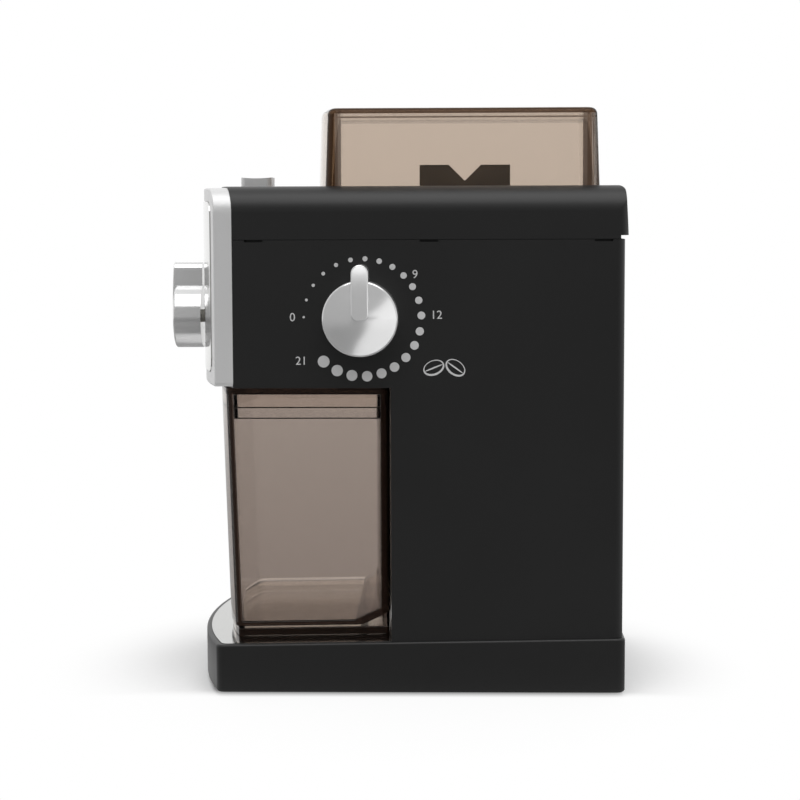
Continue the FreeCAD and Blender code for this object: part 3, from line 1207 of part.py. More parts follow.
def cooling_fan():
    hub = rod(BUSH_R, FAN_Z, FAN_TOP_Z, 0, MOTOR_Y)
    disc = rod(FAN_R, FAN_Z, FAN_Z + FAN_SHEET, 0, MOTOR_Y)
    blades = []
    for i in range(FAN_BLADES):
        blade = box(BUSH_R - PAST, FAN_R, -FAN_SHEET / 2, FAN_SHEET / 2, FAN_Z, FAN_TOP_Z)
        blade.rotate(V(0, 0, 0), V(0, 0, 1), 360.0 * i / FAN_BLADES)
        blade.translate(V(0, MOTOR_Y, 0))
        blades.append(blade)
    return cut(fuse([hub, disc] + blades), [rod(MOTOR_SHAFT_R + FIT, 0, FAR, 0, MOTOR_Y)])


def motor_shaft():
    top_z = GEAR_Z + GEAR_HEIGHT + PINION_OVERLAP + SHAFT_END
    return rod(MOTOR_SHAFT_R, FAN_Z - SHAFT_END, top_z, 0, MOTOR_Y)


def motor_pinion():
    half_pitch_deg = 180.0 / PINION_TEETH
    teeth = gear_face(PINION_TEETH, half_pitch_deg - 90).extrude(V(0, 0, GEAR_HEIGHT + 2 * PINION_OVERLAP))
    teeth.translate(V(0, MOTOR_Y, GEAR_Z - PINION_OVERLAP))
    return cut(teeth, [rod(MOTOR_SHAFT_R + FIT, 0, FAR, 0, MOTOR_Y)])


# Knobs

def pointer_knob(radius, depth, tip, bore_r):
    """A drum with a pointer bar across its face, made along +Z with the bar towards +Y."""
    apex_z = depth - BAR_PROUD
    dome = Part.makeSphere(DOME_R, V(0, 0, apex_z - DOME_R))
    drum = Part.makeCylinder(radius, apex_z + PAST).common(dome)
    rim_z = apex_z - DOME_R + math.sqrt(DOME_R**2 - radius**2)
    rim = [e for e in drum.Edges if e.BoundBox.ZLength < NEAR and abs(e.BoundBox.ZMin - rim_z) < NEAR]
    drum = drum.makeFillet(KNOB_EDGE_R, rim)
    half = BAR_WIDTH / 2
    bar = box(-half, half, -BAR_HEEL, tip - half, BAR_STANDOFF, depth + PAST)
    bar = bar.makeFillet(BAR_HEEL_R, upright_edges(bar, [(half, -BAR_HEEL), (-half, -BAR_HEEL)]))
    bar = fuse([bar, rod(half, BAR_STANDOFF, depth + PAST, 0, tip - half)])
    crown_start = V(-BAR_WIDTH, BAR_CROWN_AT, depth - BAR_CROWN_R)
    bar = bar.common(Part.makeCylinder(BAR_CROWN_R, 2 * BAR_WIDTH, crown_start, V(1, 0, 0)))
    crown_face = max(bar.Faces, key=lambda f: f.CenterOfMass.z)
    knob = fuse([drum, bar.makeFillet(BAR_EDGE_R, crown_face.Edges)])
    return cut(knob, [Part.makeCylinder(bore_r + FIT, SHAFT_GRIP + FIT)])


def grind_dial():
    return toward_x(pointer_knob(DIAL_R, DIAL_DEPTH, DIAL_TIP, DIAL_SHAFT_R), DIAL_BACK_X, DIAL_Y, DIAL_Z)


def cup_knob():
    knob = pointer_knob(KNOB_R, KNOB_BACK_Y - KNOB_FRONT_Y, KNOB_TIP, TIMER_SHAFT_R)
    return toward_front(knob, 0, KNOB_BACK_Y, KNOB_Z)


TIMER_FRONT_Y = BODY_FRONT_Y - FRONT_BOW + TIMER_SETBACK
TIMER_SHAFT_END_Y = TIMER_FRONT_Y + TIMER_DEPTH - TIMER_SHAFT_SHORT
TIMER_NECK_Y = BEZEL_FRONT_Y + WALL - FRONT_BOW + CLEAR


def timer_module():
    half = TIMER_HALF_WIDTH
    body = box(-half, half, TIMER_FRONT_Y, TIMER_FRONT_Y + TIMER_DEPTH, KNOB_Z - half, KNOB_Z + half)
    neck = rod_y(TIMER_NECK_R, TIMER_NECK_Y, TIMER_FRONT_Y, 0, KNOB_Z)
    return cut(fuse([body, neck]), [rod_y(TIMER_SHAFT_R + FIT, -FAR, TIMER_SHAFT_END_Y + PAST, 0, KNOB_Z)])


def timer_shaft():
    return rod_y(TIMER_SHAFT_R, KNOB_BACK_Y - SHAFT_GRIP, TIMER_SHAFT_END_Y, 0, KNOB_Z)


# Start button and electronics

BUTTON_REST_Z = COVER_CEILING_Z - BUTTON_GAP  # top of the button's flange
BUTTON_FLANGE_Z = BUTTON_REST_Z - BUTTON_FLANGE_HEIGHT
SWITCH_TOP_Z = COLLAR_BOTTOM_Z


def start_button():
    cap = button_block(0, BUTTON_FLANGE_Z, BUTTON_TOP_Z)
    dish_axis = V(-BUTTON_WIDTH, BUTTON_Y, BUTTON_TOP_Z - BUTTON_DISH + BUTTON_DISH_R)
    cap = cap.cut(Part.makeCylinder(BUTTON_DISH_R, 2 * BUTTON_WIDTH, dish_axis, V(1, 0, 0)))
    flange = button_block(BUTTON_FLANGE, BUTTON_FLANGE_Z, BUTTON_REST_Z)
    stem = rod(BUTTON_STEM_R, SWITCH_TOP_Z + BUTTON_TRAVEL + CLEAR, BUTTON_FLANGE_Z, 0, BUTTON_Y)
    return fuse([cap, flange, stem])


def button_spring():
    """A coil of half-turn arcs between the switch and the button's flange."""
    low = SWITCH_TOP_Z + SPRING_WIRE_R + FIT
    high = BUTTON_FLANGE_Z - SPRING_WIRE_R - FIT
    quarters = 4 * SPRING_TURNS

    def at(i):
        angle = math.pi / 2 * i
        x, y = SPRING_COIL_R * math.cos(angle), SPRING_COIL_R * math.sin(angle)
        return V(x, BUTTON_Y + y, low + (high - low) * i / quarters)

    arcs = [Part.Arc(at(i), at(i + 1), at(i + 2)).toShape() for i in range(0, quarters, 2)]
    path = Part.Wire(arcs)
    first = arcs[0]
    circle = Part.Circle(at(0), first.tangentAt(first.FirstParameter), SPRING_WIRE_R)
    return path.makePipeShell([Part.Wire(circle.toShape())], True, False)


def start_switch():
    reach = BUTTON_FLANGE + BUTTON_GAP + COLLAR_WALL
    flange_z = SWITCH_TOP_Z - SWITCH_FLANGE
    flange = button_block(reach, flange_z, SWITCH_TOP_Z)
    body = button_block(-BUTTON_CORNER_R / 2, SWITCH_TOP_Z - SWITCH_HEIGHT, flange_z)
    return fuse([flange, body])


def control_board():
    z0 = RECESS_CEILING_Z + BOARD_STANDOFF
    z1 = z0 + BOARD_THICKNESS
    board = box(-BOARD_HALF_WIDTH, BOARD_HALF_WIDTH, BOARD_FRONT_Y, BOARD_BACK_Y, z0, z1)
    relay = box(*RELAY[:4], z1, z1 + RELAY[4])
    cans = [rod(radius, z1, z1 + height, x, y) for x, y, radius, height in (CHOKE, CAPACITOR)]
    return cut(fuse([board, relay] + cans), [rod(SCREW_R + FIT, 0, FAR, *p) for p in board_posts()])


def board_screws():
    z = RECESS_CEILING_Z + BOARD_STANDOFF + BOARD_THICKNESS
    screws = []
    for x, y in board_posts():
        head = rod(SCREW_HEAD_R, z, z + SCREW_HEAD_HEIGHT, x, y)
        screws.append(fuse([head, rod(SCREW_R, z - BOARD_THICKNESS - BOARD_STANDOFF, z, x, y)]))
    return Part.Compound(screws)


NODES = (
    base_shell, base_plate, rubber_feet, base_screws, housing_screws, deck_plate, cord_grommet,
    main_housing, top_cover, front_bezel, front_plate, bean_hopper, hopper_lid, grounds_container,
    container_lid, grind_chamber, chamber_screws, grounds_chute, shaft_bushes, lower_burr, upper_burr,
    upper_burr_screws, burr_carrier, adjust_ring, adjust_rack, rack_guide, dial_bush, dial_shaft, sweeper,
    burr_nut, burr_shaft, drive_gear, chassis_plate, chassis_screws, motor_mounts, motor_can,
    motor_end_cap, motor_bushes, motor_magnets, armature, cooling_fan, motor_shaft, motor_pinion,
    grind_dial, cup_knob, timer_module, timer_shaft, start_button, button_spring, start_switch,
    control_board, board_screws,
)


def main():
    os.makedirs("parts", exist_ok=True)
    for make in NODES:
        shape = make()
        shape.translate(-ORIGIN)
        bad = [s for s in shape.Solids if not s.isValid() or s.Volume <= 0]
        print(make.__name__, len(shape.Solids), "solids", round(shape.Volume, 1), "BAD" if bad else "")
        shape.exportStep("parts/" + make.__name__ + ".step")


main()
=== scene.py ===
# %% [markdown]
# # A table-top burr coffee grinder
# The solids were drawn in CAD, so every shape arrives at its true size and place.
# This lesson gives them their finishes, adds the printed marks, and sets up a small photo studio.
# One unit is a metre, +Z is up, the front faces -Y and the side with the grind dial faces +X.

# %% Load the solids
import bpy
import math
from mathutils import Matrix, Vector


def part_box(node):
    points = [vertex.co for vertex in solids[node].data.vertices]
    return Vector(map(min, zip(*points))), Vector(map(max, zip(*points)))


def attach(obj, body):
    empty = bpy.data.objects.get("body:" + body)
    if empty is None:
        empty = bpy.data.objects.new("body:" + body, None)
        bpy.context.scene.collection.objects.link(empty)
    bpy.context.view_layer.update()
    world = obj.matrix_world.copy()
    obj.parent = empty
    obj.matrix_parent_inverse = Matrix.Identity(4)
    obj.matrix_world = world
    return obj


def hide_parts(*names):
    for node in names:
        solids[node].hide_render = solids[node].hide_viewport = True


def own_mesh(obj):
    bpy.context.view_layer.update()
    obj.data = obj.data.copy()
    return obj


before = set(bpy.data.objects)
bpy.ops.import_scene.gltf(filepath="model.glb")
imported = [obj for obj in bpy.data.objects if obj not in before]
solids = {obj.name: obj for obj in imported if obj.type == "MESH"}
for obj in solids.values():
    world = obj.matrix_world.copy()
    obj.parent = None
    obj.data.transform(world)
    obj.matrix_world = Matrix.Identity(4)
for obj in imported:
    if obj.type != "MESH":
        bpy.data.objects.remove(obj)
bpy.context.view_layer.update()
MM = 0.001

# %% [markdown]
# ## Colours and nodes
# Colours are picked as sRGB hex values, but shaders work in linear light, so one function converts them.
# Building a material by hand means adding a node, setting its sockets and drawing links.
# One small function does those three things, and each finish below is a list of such calls.

# %% Helpers for every finish
SMOOTH = {"interpolation_type": "SMOOTHSTEP"}
RGBA = {"data_type": "RGBA"}
TIMES = {"operation": "MULTIPLY"}
LARGER = {"operation": "MAXIMUM"}
DOT = {"operation": "DOT_PRODUCT"}


def linear(hex_colour):
    """An sRGB hex value as a linear colour with full alpha."""
    channels = [int(hex_colour[i:i + 2], 16) / 255 for i in (1, 3, 5)]
    return tuple(c / 12.92 if c <= 0.04045 else ((c + 0.055) / 1.055) ** 2.4 for c in channels) + (1.0,)


def add(tree, kind, settings=None, values=None, links=None):
    """Adds one node, sets its properties and its sockets, and links sockets to other nodes' outputs."""
    made = tree.nodes.new(kind)
    for name, value in (settings or {}).items():
        setattr(made, name, value)
    for socket, value in (values or {}).items():
        made.inputs[socket].default_value = value
    for socket, output in (links or {}).items():
        tree.links.new(output, made.inputs[socket])
    return made


def new_finish(name):
    """An empty material with its output and the Object coordinates that patterns follow."""
    finish = bpy.data.materials.new(name)
    finish.use_nodes = True
    tree = finish.node_tree
    tree.nodes.clear()
    output = add(tree, "ShaderNodeOutputMaterial")
    place = add(tree, "ShaderNodeTexCoord").outputs["Object"]
    return finish, tree, output, place


def per_mm(size):
    """A noise texture's scale for a pattern whose grains are so many millimetres across."""
    return 1.0 / (size * MM)


def coat(piece, finish):
    """Gives a piece one finish all over."""
    piece.data.materials.clear()
    piece.data.materials.append(finish)


print("middle grey in linear light:", linear("#808080"))

# %% [markdown]
# ## Camera
# The photograph looks at the dial side from a little above, with a long lens.
# Its place was fitted from known corners of the body, so the render can be laid over the photograph.
# A camera looks along its own -Z, so its matrix is built from the directions right, up and back.

# %% Place the camera
CAMERA_AT = Vector((0.91941, 0.02524, 0.21667))
CAMERA_BACK = Vector((0.994964, 0.024456, 0.097200))
CAMERA_YAW = math.radians(1.408)
CAMERA_ROLL = math.radians(-0.207)
LENS_MM = 89.01
SENSOR_MM = 36.0
level_right = Vector((-math.sin(CAMERA_YAW), math.cos(CAMERA_YAW), 0))
level_up = CAMERA_BACK.cross(level_right)
right = level_right * math.cos(CAMERA_ROLL) + level_up * math.sin(CAMERA_ROLL)
up = level_up * math.cos(CAMERA_ROLL) - level_right * math.sin(CAMERA_ROLL)
turned = Matrix((right, up, CAMERA_BACK)).transposed().to_4x4()
bpy.ops.object.select_all(action="DESELECT")
bpy.ops.object.camera_add(location=CAMERA_AT)
camera = bpy.context.object
camera.matrix_world = Matrix.Translation(CAMERA_AT) @ turned
camera.data.lens = LENS_MM
camera.data.sensor_width = SENSOR_MM
bpy.context.scene.camera = camera
print("camera looks along", tuple(round(c, 3) for c in -CAMERA_BACK))

# %% [markdown]
# ## Studio
# A cut-out product picture has a white ground. A round pale table catches the soft shadow.
# To the camera it fades to white a few centimetres out from the object, and on the near side it is
# nearly white throughout.
# Black plastic only looks black if what stands before it is dark. So the world is dim on the camera's
# side and under the table's level, and white behind the object.
# To a glossy surface the table is dark on the near side and farther out, as under black cards.
# Three softboxes give the highlights. One hangs overhead for the rounded edges.
# Two are linked to the chrome only: a wide leaning one that cuts the dial's face in two, and a small one
# for the top of its pointer.

# %% Paper, with fibres, and dark to glossy rays
FIBRE_MM = 3.0
NEAR_DARK = {"From Min": 0.03, "From Max": 0.10, "To Max": 0.85}
FAR_DARK = {"From Min": 0.11, "From Max": 0.16, "To Max": 0.7}
paper, tree, output, place = new_finish("white_paper")
fibres = add(tree, "ShaderNodeTexNoise", values={"Scale": per_mm(FIBRE_MM), "Detail": 4.0},
             links={"Vector": place})
tint = add(tree, "ShaderNodeMix", RGBA, {"A": linear("#F6F6F6"), "B": linear("#FAFAFA")},
           {"Factor": fibres.outputs["Fac"]})
ray = add(tree, "ShaderNodeLightPath").outputs
across = add(tree, "ShaderNodeSeparateXYZ", links={"Vector": place})
out_from_middle = add(tree, "ShaderNodeVectorMath", {"operation": "LENGTH"}, links={0: place})
near_dark = add(tree, "ShaderNodeMapRange", SMOOTH, NEAR_DARK, {"Value": across.outputs["X"]})
far_dark = add(tree, "ShaderNodeMapRange", SMOOTH, FAR_DARK,
               {"Value": out_from_middle.outputs["Value"]})
dimmed = add(tree, "ShaderNodeMath", LARGER,
             links={0: near_dark.outputs["Result"], 1: far_dark.outputs["Result"]})
unlit = add(tree, "ShaderNodeMath", TIMES,
            links={0: dimmed.outputs["Value"], 1: ray["Is Glossy Ray"]})
paper_tint = add(tree, "ShaderNodeMix", RGBA, {"B": linear("#202020")},
                 {"Factor": unlit.outputs["Value"], "A": tint.outputs["Result"]})
sheet = add(tree, "ShaderNodeBsdfPrincipled", values={"Roughness": 0.9, "Specular IOR Level": 0.1},
            links={"Base Color": paper_tint.outputs["Result"]})
print("paper fibres", FIBRE_MM, "mm")

# %% Paper, white to the camera away from the object
FAR_WHITE = {"From Min": 0.10, "From Max": 0.17}
NEAR_WHITE = {"From Min": 0.044, "From Max": 0.06, "To Max": 0.9}
far_white = add(tree, "ShaderNodeMapRange", SMOOTH, FAR_WHITE,
                {"Value": out_from_middle.outputs["Value"]})
direct = add(tree, "ShaderNodeMath", LARGER,
             links={0: ray["Is Camera Ray"], 1: ray["Is Transmission Ray"]})
near_white = add(tree, "ShaderNodeMapRange", SMOOTH, NEAR_WHITE, {"Value": across.outputs["X"]})
bare = add(tree, "ShaderNodeMath", LARGER,
           links={0: far_white.outputs["Result"], 1: near_white.outputs["Result"]})
fade = add(tree, "ShaderNodeMath", TIMES,
           links={0: bare.outputs["Value"], 1: direct.outputs["Value"]})
white = add(tree, "ShaderNodeEmission", values={"Color": linear("#FFFFFF"), "Strength": 1.0})
faded = add(tree, "ShaderNodeMixShader",
            links={0: fade.outputs["Value"], 1: sheet.outputs["BSDF"], 2: white.outputs["Emission"]})
tree.links.new(faded.outputs["Shader"], output.inputs["Surface"])
print("paper white from", FAR_WHITE["From Max"], "m out")

# %% Table
TABLE_R = 0.42
bpy.ops.object.select_all(action="DESELECT")
bpy.ops.mesh.primitive_circle_add(vertices=96, radius=TABLE_R, fill_type="NGON")
table = bpy.context.object
table.name = "studio_floor"
coat(table, paper)
print("table", 2 * TABLE_R, "m across")

# %% World
DIM_LEVEL = 0.32
TO_CAMERA_SIDE = {"From Min": 0.0, "From Max": 0.95, "To Min": 1.0, "To Max": DIM_LEVEL}
UP_FROM_BELOW = {"From Min": -0.16, "From Max": -0.06, "To Min": 0.35, "To Max": 1.0}
world = bpy.data.worlds.new("white_studio")
bpy.context.scene.world = world
world.use_nodes = True
sky = world.node_tree
sky.nodes.clear()
heading = add(sky, "ShaderNodeTexCoord").outputs["Generated"]
towards = add(sky, "ShaderNodeSeparateXYZ", links={"Vector": heading})
front = add(sky, "ShaderNodeMapRange", SMOOTH, TO_CAMERA_SIDE, {"Value": towards.outputs["X"]})
below = add(sky, "ShaderNodeMapRange", SMOOTH, UP_FROM_BELOW, {"Value": towards.outputs["Z"]})
dim = add(sky, "ShaderNodeMath", TIMES, links={0: front.outputs["Result"], 1: below.outputs["Result"]})
ray = add(sky, "ShaderNodeLightPath").outputs
seen = add(sky, "ShaderNodeMath", LARGER,
           links={0: ray["Is Camera Ray"], 1: ray["Is Transmission Ray"]})
level = add(sky, "ShaderNodeMix", values={"B": 1.0},
            links={"Factor": seen.outputs["Value"], "A": dim.outputs["Value"]})
glow = add(sky, "ShaderNodeBackground", values={"Color": linear("#FFFFFF")},
           links={"Strength": level.outputs["Result"]})
add(sky, "ShaderNodeOutputWorld", links={"Surface": glow.outputs["Background"]})
print("world level from", DIM_LEVEL, "on the camera's side to 1 behind the object")

# %% Softboxes
def softbox(name, at, aim, lean_deg, size, watts):
    """An area lamp that looks at a point, turned about its own axis."""
    bpy.ops.object.select_all(action="DESELECT")
    bpy.ops.object.light_add(type="AREA", location=at)
    lamp = bpy.context.object
    lamp.name = name
    facing = (Vector(aim) - Vector(at)).to_track_quat("-Z", "Y").to_matrix()
    lean = Matrix.Rotation(math.radians(lean_deg), 3, "Z")
    lamp.rotation_euler = (facing @ lean).to_euler()
    lamp.data.shape = "RECTANGLE"
    lamp.data.size, lamp.data.size_y = size
    lamp.data.energy = watts
    print(name, size, "m,", watts, "W")
    return lamp


DIAL_FACE = (0.072, -0.012, 0.168)
softbox("overhead_softbox", at=(0.5, 0.05, 1.15), aim=(0, 0, 0.2), lean_deg=0, size=(1.1, 1.0), watts=7.0)
leaning = softbox("leaning_softbox", at=(1.40, 0.51, -0.29), aim=DIAL_FACE, lean_deg=-27,
                  size=(1.2, 1.5), watts=5.0)
pointer = softbox("pointer_softbox", at=(0.95, -0.05, 0.335), aim=DIAL_FACE, lean_deg=0,
                  size=(0.12, 0.17), watts=0.09)
chrome_only = bpy.data.collections.new("chrome_under_small_softboxes")
for name in ("grind_dial", "cup_knob"):
    chrome_only.objects.link(solids[name])
for lamp in (leaning, pointer):
    lamp.light_linking.receiver_collection = chrome_only
bpy.context.scene.view_settings.view_transform = "Standard"

# %% [markdown]
# ## Black body
# The housing, cover and base are moulded in black ABS against a spark-eroded mould, which leaves a fine
# even grain. Up close the grain is a bump; from afar it only softens the highlight.
# A slow change in roughness keeps large flat walls from looking like a computer's flat grey.

# %% Black ABS and other plastics
SLOW_MM = 60.0
GLOSS_SWING = 0.04


def grained_plastic(name, dark, light, roughness, grain_mm, depth_mm):
    """Moulded plastic: an even grain as bump, with slow changes of colour and gloss."""
    finish, tree, output, place = new_finish(name)
    slow = add(tree, "ShaderNodeTexNoise", values={"Scale": per_mm(SLOW_MM), "Detail": 3.0},
               links={"Vector": place})
    shade = add(tree, "ShaderNodeMix", RGBA, {"A": linear(dark), "B": linear(light)},
                {"Factor": slow.outputs["Fac"]})
    gloss = add(tree, "ShaderNodeMapRange",
                values={"To Min": roughness - GLOSS_SWING, "To Max": roughness + GLOSS_SWING},
                links={"Value": slow.outputs["Fac"]})
    grain = add(tree, "ShaderNodeTexNoise", values={"Scale": per_mm(grain_mm), "Detail": 2.0},
                links={"Vector": place})
    bump = add(tree, "ShaderNodeBump", values={"Strength": 0.25, "Distance": depth_mm * MM},
               links={"Height": grain.outputs["Fac"]})
    plastic = add(tree, "ShaderNodeBsdfPrincipled", values={"IOR": 1.53, "Specular IOR Level": 0.35},
                  links={"Base Color": shade.outputs["Result"], "Roughness": gloss.outputs["Result"],
                         "Normal": bump.outputs["Normal"]})
    tree.links.new(plastic.outputs["BSDF"], output.inputs["Surface"])
    print(name, "grain", grain_mm, "mm")
    return finish


# In order: darker and lighter colour, roughness, width and depth of the grain in millimetres.
black_abs = grained_plastic("black_moulded_abs", "#1B1B1B", "#1F1F1F", 0.4, 0.5, 0.03)
inner_abs = grained_plastic("dark_inner_plastic", "#2B2723", "#312C27", 0.5, 0.8, 0.03)
handle_abs = grained_plastic("brown_carrier_plastic", "#4C463F", "#524C44", 0.5, 0.8, 0.03)
gear_acetal = grained_plastic("natural_acetal", "#D8D4C8", "#DEDACF", 0.4, 0.6, 0.01)
black_rubber = grained_plastic("black_rubber", "#101010", "#161616", 0.75, 0.4, 0.05)

# %% [markdown]
# ## Silver and chrome
# The bezel is ABS with silver paint: tiny flakes in a clear coat, so it is bright but has no sharp
# reflections. The knob and dial are plastic with a satin chrome plate.
# The front panel and the deck under the container are steel.
# Paint and satin plate scatter part of the light, so they are only partly metallic. The steels are wholly
# so. They differ in roughness and in the fine marks that the last tool left, and the deck's steel is
# darker by painted shade.

# %% Metals
GLOSS_SHARE = 0.15


def metal(name, dark, light, metallic, roughness, mark_mm, stretch, depth_mm):
    """A metal, or a paint with metal flakes, whose fine marks are noise stretched along one axis."""
    finish, tree, output, place = new_finish(name)
    along = add(tree, "ShaderNodeMapping", values={"Scale": stretch}, links={"Vector": place})
    marks = add(tree, "ShaderNodeTexNoise", values={"Scale": per_mm(mark_mm), "Detail": 3.0},
                links={"Vector": along.outputs["Vector"]})
    shade = add(tree, "ShaderNodeMix", RGBA, {"A": linear(dark), "B": linear(light)},
                {"Factor": marks.outputs["Fac"]})
    gloss = add(tree, "ShaderNodeMapRange",
                values={"To Min": roughness * (1 - GLOSS_SHARE), "To Max": roughness * (1 + GLOSS_SHARE)},
                links={"Value": marks.outputs["Fac"]})
    bump = add(tree, "ShaderNodeBump", values={"Strength": 0.15, "Distance": depth_mm * MM},
               links={"Height": marks.outputs["Fac"]})
    shader = add(tree, "ShaderNodeBsdfPrincipled", values={"Metallic": metallic},
                 links={"Base Color": shade.outputs["Result"], "Roughness": gloss.outputs["Result"],
                        "Normal": bump.outputs["Normal"]})
    tree.links.new(shader.outputs["BSDF"], output.inputs["Surface"])
    print(name, "roughness", roughness)
    return finish


EVEN, ALONG_X, ALONG_Z = (1, 1, 1), (0.04, 1, 1), (1, 1, 0.05)
# In order: darker and lighter colour, metallic share, roughness, width of the marks in millimetres,
# which way they run, and their depth in millimetres.
silver_paint = metal("satin_silver_paint", "#D2D2D2", "#DCDCDC", 0.35, 0.38, 0.25, EVEN, 0.01)
satin_chrome = metal("satin_chrome_plate", "#DEDEDE", "#E6E6E6", 0.65, 0.13, 0.4, EVEN, 0.004)
polished_steel = metal("polished_stainless", "#D2D2D0", "#DCDCDA", 1.0, 0.10, 0.3, ALONG_X, 0.003)
# The deck's darker colour is painted shade.
shaded_deck_steel = metal("brushed_stainless_painted_shade", "#B6B6B4", "#C0C0BE", 1.0, 0.12, 0.3, ALONG_X, 0.004)
ground_steel = metal("ground_hard_steel", "#A8A8AA", "#BEBEC0", 1.0, 0.3, 0.2, EVEN, 0.01)
zinc_steel = metal("zinc_plated_steel", "#B4B6B8", "#C6C8CA", 1.0, 0.35, 0.6, EVEN, 0.01)
sintered_bronze = metal("sintered_bronze", "#9A7440", "#B88E56", 1.0, 0.45, 0.3, EVEN, 0.03)
core_iron = metal("laminated_iron", "#5A5552", "#6C6764", 1.0, 0.5, 0.5, ALONG_Z, 0.03)

# %% [markdown]
# ## Smoked clear plastic
# The bean lid and the grounds container are clear SAN tinted brown. An absorbing inside alone could give
# the tint, but the long ways round the corners then spoil the flat, even windows of the real thing.
# So each wall's surface carries most of the tint, by height, and the inside absorbs only a little. The
# container's floor is paler by painted light, and its walls are darker towards the floor.
# Where the eye looks along a wall instead of through it, the way through the plastic is long and nearly
# black. That dark is painted shade on the surface: such a place lies a few millimetres along some
# direction, a dot product gives the distance, and a colour ramp gives how dark the painted shade is
# there. The places with painted shade also transmit less.
# The refractive index is lower than the plastic's own 1.57, which made the rounded corners too pale.

# %% Smoked SAN
MIDDLE_X = -7.2 * MM
SHADE_THROUGH = 0.4
FLOW_MM = 25.0


def ramp_along(tree, distance, stops):
    """A colour ramp over a distance in metres. stops: places along it, in order, with a colour each."""
    first, last = stops[0][0], stops[-1][0]
    share = add(tree, "ShaderNodeMapRange", values={"From Min": first, "From Max": last},
                links={"Value": distance})
    ramp = add(tree, "ShaderNodeValToRGB", links={"Fac": share.outputs["Result"]})
    shares = [(spot - first) / (last - first) for spot, _ in stops]
    for inner in shares[1:-1]:
        ramp.color_ramp.elements.new(inner)
    for stop, at_share, (_, colour) in zip(ramp.color_ramp.elements, shares, stops):
        stop.position = at_share
        stop.color = colour
    return ramp.outputs["Color"]


def smoked_clear(name, upright, tints, edge_shade_tint, density, edges):
    """upright: the direction heights are measured in. tints: heights, from low to high, with a wall's
    colour each. edge_shade_tint: the colour of the painted shade. edges: a direction, how far along it
    the painted shade starts, a profile from there, and from how far out on the dial's side."""
    finish, tree, output, place = new_finish(name)
    at = add(tree, "ShaderNodeSeparateXYZ", links={"Vector": place}).outputs
    height = add(tree, "ShaderNodeVectorMath", DOT, {1: upright}, {0: place})
    tint = ramp_along(tree, height.outputs["Value"], tints)
    # thick gathers the painted shade of all edges, where the view runs along a wall.
    thick = None
    for direction, start, profile, side_from in edges:
        reach = add(tree, "ShaderNodeVectorMath", DOT, {1: direction}, {0: place})
        stops = [(start + past * MM, (dark, dark, dark, 1)) for past, dark in profile]
        darkness = ramp_along(tree, reach.outputs["Value"], stops)
        side = add(tree, "ShaderNodeMath", {"operation": "GREATER_THAN"}, {1: MIDDLE_X + side_from},
                   {0: at["X"]})
        edge = add(tree, "ShaderNodeMath", TIMES,
                   links={0: darkness, 1: side.outputs["Value"]}).outputs["Value"]
        thick = edge if thick is None else add(tree, "ShaderNodeMath", LARGER,
                                               links={0: thick, 1: edge}).outputs["Value"]
    colour = add(tree, "ShaderNodeMix", RGBA, {"B": linear(edge_shade_tint)}, {"Factor": thick, "A": tint})
    through = add(tree, "ShaderNodeMapRange", values={"To Min": 1.0, "To Max": SHADE_THROUGH},
                  links={"Value": thick})
    flow = add(tree, "ShaderNodeTexNoise", values={"Scale": per_mm(FLOW_MM), "Detail": 2.0},
               links={"Vector": place})
    gloss = add(tree, "ShaderNodeMapRange", values={"To Min": 0.02, "To Max": 0.05},
                links={"Value": flow.outputs["Fac"]})
    clear = add(tree, "ShaderNodeBsdfPrincipled", values={"IOR": 1.2},
                links={"Base Color": colour.outputs["Result"], "Roughness": gloss.outputs["Result"],
                       "Transmission Weight": through.outputs["Result"]})
    inside = add(tree, "ShaderNodeVolumeAbsorption",
                 values={"Color": linear("#7A6350"), "Density": density})
    tree.links.new(clear.outputs["BSDF"], output.inputs["Surface"])
    tree.links.new(inside.outputs["Volume"], output.inputs["Volume"])
    print(name, len(edges), "thick edges")
    return finish


# A profile is a row of distances in millimetres past an edge's start, each with a darkness of painted
# shade from 0 to 1.
SOLID = ((0, 0), (0.2, 1), (20, 1))
UP = Vector((0, 0, 1))
print("a solid dark edge begins over", SOLID[1][0], "mm")

# %% Container and its cap
CUP_DRAFT = 0.0313  # the container's front leans forward by this much for each unit of height
DECK_RISE = 0.0171  # the deck and the container's floor rise by this much for each unit towards the back
HEEL_SLOPE = 5.6 / 12.0  # the heel at the floor's back rises by this much
OFF_FLOOR = Vector((0, -DECK_RISE, 1))
TO_FLOOR = Vector((0, DECK_RISE, -1))
TO_HEEL = Vector((0, HEEL_SLOPE, -1))
# The dark edges set below are painted shade, where the view runs along the floor, foot, rim, cap, front
# and back.
FLOOR_Z, FOOT_Z = 32.2 * MM, 28.4 * MM  # below these the floor's and the foot's edges are dark, at y = 0
HEEL_Y = -16.6 * MM  # where the heel starts to rise
RIM_Z = 127.6 * MM  # above this the container's rim is dark
CAP_TOP_Z, CAP_FOOT_Z = 133.6 * MM, 123.2 * MM  # above and below these the cap is dark
FRONT_AT, FRONT_AT_Z = 70.6 * MM, 136.6 * MM  # how far forward the dark front starts, at this height
BACK_Y = -5.0 * MM  # where the dark back starts
CUP_SIDE, FOOT_SIDE, CAP_SIDE = 49.9 * MM, 40.0 * MM, 46.0 * MM  # from how far out the edges are dark
TINT_FLOOR_TO, TINT_WALL_FROM, TINT_TOP = 32.26 * MM, 32.28 * MM, 128.0 * MM  # heights of the tints
CAP_FROM = 128.2 * MM  # the cap's walls have their tint from this height
